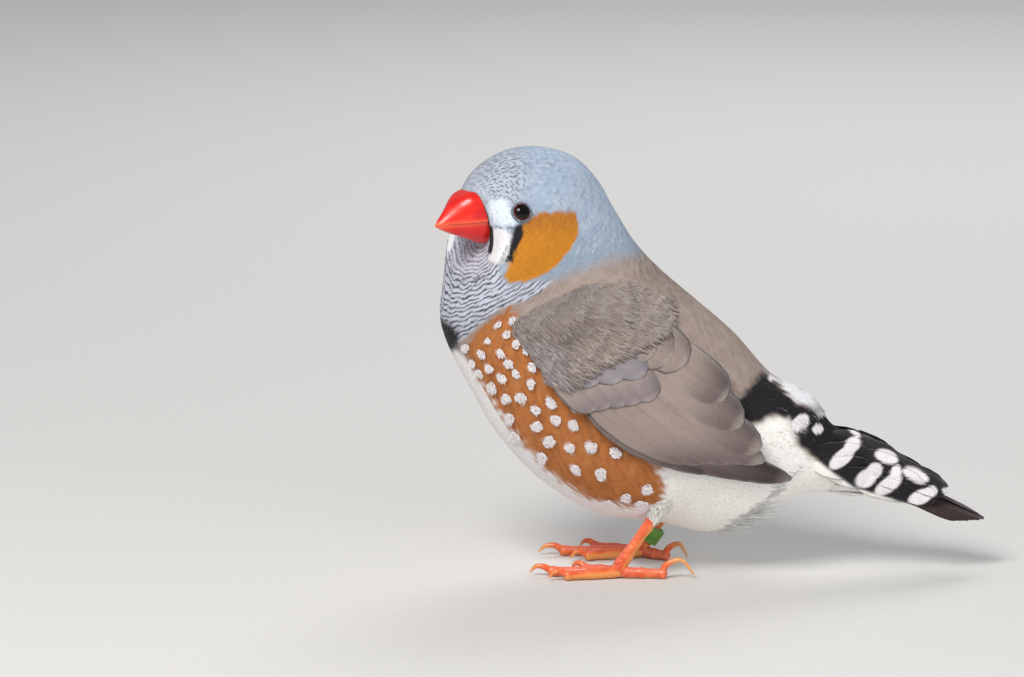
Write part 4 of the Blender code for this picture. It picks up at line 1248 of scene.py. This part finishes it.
# Eyes: a glossy ball with its iris, and a rim of bare lid round it
def eyeMaterial():
    net = material("eye")
    out = net.attribute("out")
    iris = net.mix(out.step(0.60, 0.78), colour(6, 4, 5), colour(74, 20, 10))
    shown = net.mix(out.step(0.86, 0.97), iris, colour(12, 8, 8))
    net.look(Base_Color=shown, Roughness=0.05, Specular_IOR_Level=0.22, Coat_Weight=0.15, Coat_Roughness=0.02)
    return net.finish


def lidMaterial():
    net = material("eye lid")
    grain = net.noise(6000.0)
    shown = net.mix(grain.step(0.4, 0.65), colour(60, 58, 66), colour(150, 158, 172))
    net.look(Base_Color=shown, Roughness=0.6)
    net.bump(grain, 0.6, 0.00008)
    return net.finish


eyeFinish, lidFinish = eyeMaterial(), lidMaterial()


# Across and up as seen along a direction
def crossAxes(facing):
    across = unit(np.cross(facing, np.array([0, 0, 1.0])))
    return across, np.cross(facing, across)


eyes = {
    "rows": 48, "cols": 64,
    "rimSteps": 96, "rimCols": 20, "rimWide": 1.55, "rimAhead": 0.82, "rimThick": 0.24,
}


def eye(name, side):
    centre, facing = eyeFrame(side)
    across, over = crossAxes(facing)
    tilt, turn = pairs(np.linspace(0.02, math.pi - 0.02, eyes["rows"]), circle(eyes["cols"]))
    shape = np.outer(np.cos(tilt), facing) + np.outer(np.sin(tilt) * np.cos(turn), across) \
        + np.outer(np.sin(tilt) * np.sin(turn), over)
    points = np.vstack([centre + eyeRadius * shape, centre + eyeRadius * np.array([facing, -facing])])
    mesh = meshFrom("eyeball", toWorld(points, False), closedTube(points[:-2], eyes["cols"]))
    putAttribute(mesh, "out", np.r_[np.clip(tilt / 1.1, 0, 1), 0, 1])
    addPiece("eyeball_" + name, outward(mesh), eyeFinish, ("eye_" + name,))
    # the lid: a beaded ring just in front of the ball's widest part
    a, b = pairs(circle(eyes["rimSteps"]), circle(eyes["rimCols"]))
    thick = eyes["rimThick"] * (1 + 0.12 * np.sin(a * 26))
    wide, ahead = eyes["rimWide"] + thick * np.cos(b), eyes["rimAhead"] + thick * np.sin(b)
    points = centre + np.outer(wide * np.cos(a), across) + np.outer(wide * np.sin(a) * 0.97, over) \
        + np.outer(ahead, facing)
    mesh = meshFrom("lid", toWorld(points, False), ringFaces(eyes["rimSteps"], eyes["rimCols"]))
    addPiece("lid_" + name, outward(mesh), lidFinish)


eye("left", -1)
eye("right", 1)
print("bill and eyes made")


# Legs and feet: scaled tubes, with pads below and horn claws
legs = {
    "left": {
        "shank": [(21.5, -8.6, 13.5, 1.3), (18.3, -8.2, 9.2, 1.0), (15.8, -8.2, 5.6, 0.9),
                  (13.6, -8.2, 2.4, 1.2), (13.2, -8.2, 1.3, 1.25)],
        "toes": [[(13.2, -8.2), (12.6, -8.1), (6.6, -7.5), (1.6, -7.0)],
                 [(13.2, -8.2), (12.6, -8.6), (8, -9.7), (4.2, -10.3)],
                 [(13.2, -8.2), (12.6, -7.6), (9.6, -5.9), (7.4, -4.8)],
                 [(13.2, -8.4), (14.2, -8.5), (17.4, -8.7), (20.8, -8.9)]],
        "claws": [[(1.9, -7.0, 0.8), (0.6, -6.9, 1.5), (-0.7, -6.8, 1.5), (-1.7, -6.6, 0.5)],
                  [(4.5, -10.25, 0.8), (3.3, -10.4, 1.4), (2.3, -10.5, 1.3), (1.5, -10.6, 0.45)],
                  [(7.7, -4.95, 0.8), (6.8, -4.5, 1.5), (5.9, -4.1, 1.4), (5.2, -3.7, 0.45)],
                  [(20.3, -8.9, 0.9), (21.2, -8.9, 2.4), (23.6, -9.0, 3.0), (25.6, -9.1, 0.6)]],
    },
    "right": {
        "shank": [(24.4, 8.6, 12.4, 1.35), (21.2, 8.2, 7.4, 1.1), (19.3, 8.2, 4.8, 0.9),
                  (17.6, 8.2, 2.4, 1.15), (17.3, 8.2, 1.3, 1.3)],
        "toes": [[(17.3, 8.2), (16.7, 8.2), (9.4, 8.9), (3.6, 9.4)],
                 [(17.3, 8.2), (16.7, 8.7), (12, 11.2), (9.2, 13)],
                 [(17.3, 8.2), (16.7, 7.7), (11.4, 6.2), (7.8, 5.2)],
                 [(17.3, 8.0), (18.0, 7.6), (19.6, 6.4), (21.6, 5.4)]],
        "claws": [[(3.9, 9.4, 0.8), (2.6, 9.4, 1.6), (1.0, 9.5, 1.5), (-0.2, 9.5, 0.5)],
                  [(9.5, 12.8, 0.8), (8.6, 13.3, 1.5), (7.6, 13.8, 1.4), (6.8, 14.2, 0.45)],
                  [(8.1, 5.3, 0.8), (7.0, 5.0, 1.5), (6.0, 4.8, 1.4), (5.1, 4.5, 0.45)],
                  [(21.1, 5.6, 0.9), (21.9, 5.3, 2.2), (23.6, 4.8, 2.8), (24.9, 4.3, 0.6)]],
    },
    "toeHeights": (1.5, 0.95, 0.8, 0.72), "toeRadii": (1.0, 0.95, 0.82, 0.74),
    "clawRadii": (0.66, 0.52, 0.38, 0.10), "shankScute": 1.0, "toeScute": 0.62,
    "shankRows": 150, "shankCols": 32, "shankDepth": 0.07,
    "toeRows": 110, "toeCols": 26, "toeDepth": 0.05, "clawRows": 40, "clawCols": 18,
}


# A closed tube along a path, with scutes of a given length over its top and pads below
def tube(path, radii, cols, scute=0.0, depth=0.0):
    steps = np.r_[0, np.cumsum(np.linalg.norm(np.diff(path, axis=0), axis=1))]
    ahead = unit(np.gradient(path, axis=0))
    upward = [-1.0, 0, 0.2] if abs(ahead[0, 2]) > 0.5 else [0, 0, 1.0]
    across = unit(np.cross(ahead, np.tile(upward, (len(path), 1))))
    up = np.cross(across, ahead)
    angle = circle(cols)
    face = np.cos(angle)
    points, marks = [], []
    for i, far in enumerate(steps):
        reach = radii[i]
        if scute:
            ridge = (far / scute) % 1.0
            reach = reach + depth * (0.35 - 0.9 * (ridge < 0.16)) * step(face, 0.0, 0.5)
            reach = reach + depth * 0.9 * math.sin(far / scute * 2.2) * step(-face, 0.1, 0.7)
        points.append(path[i] + np.outer(reach * face, up[i]) + np.outer(reach * np.sin(angle), across[i]))
        marks.append(np.stack([np.full(cols, far), face], 1))
    points = np.vstack(points)
    faces = closedTube(points, cols)
    points = np.vstack([points, [path[0], path[-1] + ahead[-1] * radii[-1] * 0.6]])
    return points, faces, np.vstack(marks + [[[0, 0], [steps[-1], 0]]])


# One mesh of several tubes, kept above the floor, with the marks of all their points
def tubesMesh(name, parts):
    points, faces, marks = [], [], []
    for part, partFaces, partMarks in parts:
        base = sum(len(p) for p in points)
        points.append(part)
        faces += [tuple(base + k for k in face) for face in partFaces]
        marks.append(partMarks)
    points = np.vstack(points)
    points[:, 2] = np.maximum(points[:, 2], 0.0)
    return meshFrom(name, toWorld(points, False), faces), np.vstack(marks)


def legMaterial():
    net = material("leg scales")
    cloud, fine = net.noise(500.0), net.noise(3500.0)
    face, ridge = net.attribute("across"), net.attribute("along")
    orange = net.mix(cloud.step(0.35, 0.7), colour(218, 84, 40), colour(236, 122, 66))
    under = net.mix(face.step(-0.1, -0.7), orange, colour(228, 146, 74))
    pinked = net.mix(face.step(0.45, 0.9) * 0.55, under, colour(238, 122, 98))
    lines = ridge.step(0.20, 0.0) * face.step(0.0, 0.4)
    net.look(Base_Color=net.mix(lines * 0.6, pinked, colour(150, 44, 22)), Roughness=fine * 0.3 + 0.3,
             Subsurface_Weight=0.1, Subsurface_Scale=0.0008, Subsurface_Radius=(1.0, 0.4, 0.2),
             Coat_Weight=0.4, Coat_Roughness=0.22)
    net.bump(cloud + fine * 0.6, 0.3, 0.00008)
    return net.finish


def clawMaterial():
    net = material("claw horn")
    cloud = net.noise(1500.0)
    base = net.mix(cloud.step(0.35, 0.7), colour(222, 92, 46), colour(232, 118, 66))
    shown = net.mix(net.attribute("along").step(1.2, 4.4), base, colour(226, 158, 96))
    net.look(Base_Color=shown, Roughness=0.28, Coat_Weight=0.2, Coat_Roughness=0.2)
    net.bump(cloud, 0.1, 0.00005)
    return net.finish


legFinish, clawFinish = legMaterial(), clawMaterial()


def leg(side):
    plan = legs[side]
    shank = smoothAt(plan["shank"], np.linspace(0, 4, legs["shankRows"]))
    parts = [tube(shank[:, :3], shank[:, 3], legs["shankCols"], legs["shankScute"], legs["shankDepth"])]
    shankPoints = len(parts[0][0])
    share = np.linspace(0, 1, legs["toeRows"])
    # thicker at the middle joint and at the pad by the claw
    swell = 1 + 0.16 * np.exp(-((share - 0.62) / 0.05) ** 2) + 0.24 * np.exp(-((share - 0.95) / 0.06) ** 2)
    along = np.linspace(0, 3, legs["toeRows"])
    radii = np.interp(along, range(4), legs["toeRadii"]) * swell
    for toe in plan["toes"]:
        path = smoothAt(np.c_[toe, legs["toeHeights"]], along)
        parts.append(tube(path, radii, legs["toeCols"], legs["toeScute"], legs["toeDepth"]))
    mesh, marks = tubesMesh("leg", parts)
    spacing = np.where(np.arange(len(marks)) < shankPoints, legs["shankScute"], legs["toeScute"])
    putAttribute(mesh, "along", (marks[:, 0] / spacing) % 1.0)
    putAttribute(mesh, "across", marks[:, 1])
    addPiece("scaled_leg_" + side, outward(mesh), legFinish, ("leg_" + side,))
    along = np.linspace(0, 3, legs["clawRows"])
    radii = np.interp(along, range(4), legs["clawRadii"])
    parts = [tube(smoothAt(claw, along), radii, legs["clawCols"]) for claw in plan["claws"]]
    mesh, marks = tubesMesh("claws", parts)
    putAttribute(mesh, "along", marks[:, 0])
    addPiece("claws_" + side, outward(mesh), clawFinish)


leg("left")
leg("right")
print("legs made")


# The plastic ring round the far leg
band = {
    "foot": (17.3, 8.2, 2.0), "cuff": (21.2, 8.2, 7.4), "place": 0.38,
    "radius": 1.9, "wall": 0.5, "height": 2.8, "rounding": 0.12, "steps": 96,
}


def bandMaterial():
    net = material("band plastic")
    scuffs = net.noise(900.0, 6.0, 0.7)
    green = net.mix(scuffs.step(0.4, 0.7), colour(86, 140, 56), colour(112, 166, 74))
    # the rims are paler: partly worn plastic, partly a painted highlight on the ring's edges
    rim = net.attribute("along").size().step(1.25, 1.45)
    net.look(Base_Color=net.mix(rim * 0.6, green, colour(130, 190, 140)), Roughness=scuffs * 0.3 + 0.25,
             Subsurface_Weight=0.1, Subsurface_Scale=0.001)
    net.bump(scuffs, 0.12, 0.0001)
    return net.finish


def legBand():
    foot, cuff, rounding = np.array(band["foot"]), np.array(band["cuff"]), band["rounding"]
    axis = unit(cuff - foot)
    middle = foot + (cuff - foot) * band["place"]
    across, over = crossAxes(axis)
    half, wall = band["height"] / 2 - rounding, band["wall"] / 2
    # the wall's section: along the leg and out from it, with six points to each rounded corner
    profile = []
    for u, r in ((-1, -1), (1, -1), (1, 1), (-1, 1)):
        for k in range(6):
            bend = math.atan2(r, u) + (k - 2.5) / 5 * (math.pi / 2)
            profile.append((u * half + rounding * math.cos(bend),
                            band["radius"] - wall + r * (wall - rounding) + rounding * math.sin(bend)))
    points = []
    for a in circle(band["steps"]):
        out = across * math.cos(a) + over * math.sin(a)
        points += [middle + axis * u + out * r for u, r in profile]
    mesh = meshFrom("band", toWorld(points, False), ringFaces(band["steps"], len(profile)))
    putAttribute(mesh, "along", np.tile([u for u, _ in profile], band["steps"]))
    addPiece("ring_right", outward(mesh), bandMaterial(), ("leg_band",))


legBand()
print("ring made")


# Floor, light and camera
def stageFloor():
    bpy.ops.mesh.primitive_plane_add(size=6.0, location=(0, 0, -0.0001))
    floor = bpy.context.object
    floor.name = "floor"
    net = material("pale paper")
    shown = net.mix(net.noise(700.0).step(0.3, 0.7), (0.645, 0.635, 0.62, 1), (0.66, 0.65, 0.635, 1))
    net.look(Base_Color=shown, Roughness=0.9)
    floor.data.materials.append(net.finish)


# name: place, what it points at, size, power, colour
lamps = {
    "key": ((-0.25, -0.45, 0.55), (0, 0, 0.04), 0.35, 4.7, (1.0, 0.98, 0.95)),
    "fill": ((0.35, -0.5, 0.10), (0, 0, 0.03), 0.5, 1.6, (0.95, 0.97, 1.0)),
    "rim": ((0.1, 0.55, 0.5), (0, 0, 0.04), 0.4, 2.2, (1.0, 1.0, 1.0)),
}


def areaLight(name, place, aim, size, power, tint):
    light = bpy.data.lights.new(name, "AREA")
    light.shape = "DISK"
    light.size = size
    light.energy = power
    light.color = tint
    lamp = bpy.data.objects.new(name, light)
    lamp.location = place
    lamp.rotation_euler = (Vector(aim) - Vector(place)).to_track_quat("-Z", "Y").to_euler()
    lamp.visible_glossy = name == "key"
    bpy.context.scene.collection.objects.link(lamp)


view = {"elevation": 10.5, "distance": 1200.0, "target": (-4.667, 0.0, 38.90), "lens": 253.1, "sensor": 36.0}


def camera():
    target = Vector(toWorld([view["target"]], False)[0])
    tilt = math.radians(view["elevation"])
    place = target + Vector((0, -math.cos(tilt), math.sin(tilt))) * view["distance"] / 1000.0
    lens = bpy.data.cameras.new("camera")
    lens.lens = view["lens"]
    lens.sensor_width = view["sensor"]
    lens.clip_start = 0.01
    lens.clip_end = 20.0
    made = bpy.data.objects.new("camera", lens)
    made.location = place
    made.rotation_euler = (target - place).to_track_quat("-Z", "Y").to_euler()
    bpy.context.scene.collection.objects.link(made)
    bpy.context.scene.camera = made


def world():
    sky = bpy.data.worlds.new("studio")
    sky.use_nodes = True
    background = sky.node_tree.nodes["Background"]
    background.inputs["Color"].default_value = (0.86, 0.88, 0.92, 1)
    background.inputs["Strength"].default_value = 0.33
    bpy.context.scene.world = sky


stageFloor()
world()
for name, lamp in lamps.items():
    areaLight(name, *lamp)
bpy.context.scene.view_settings.view_transform = "Standard"
camera()
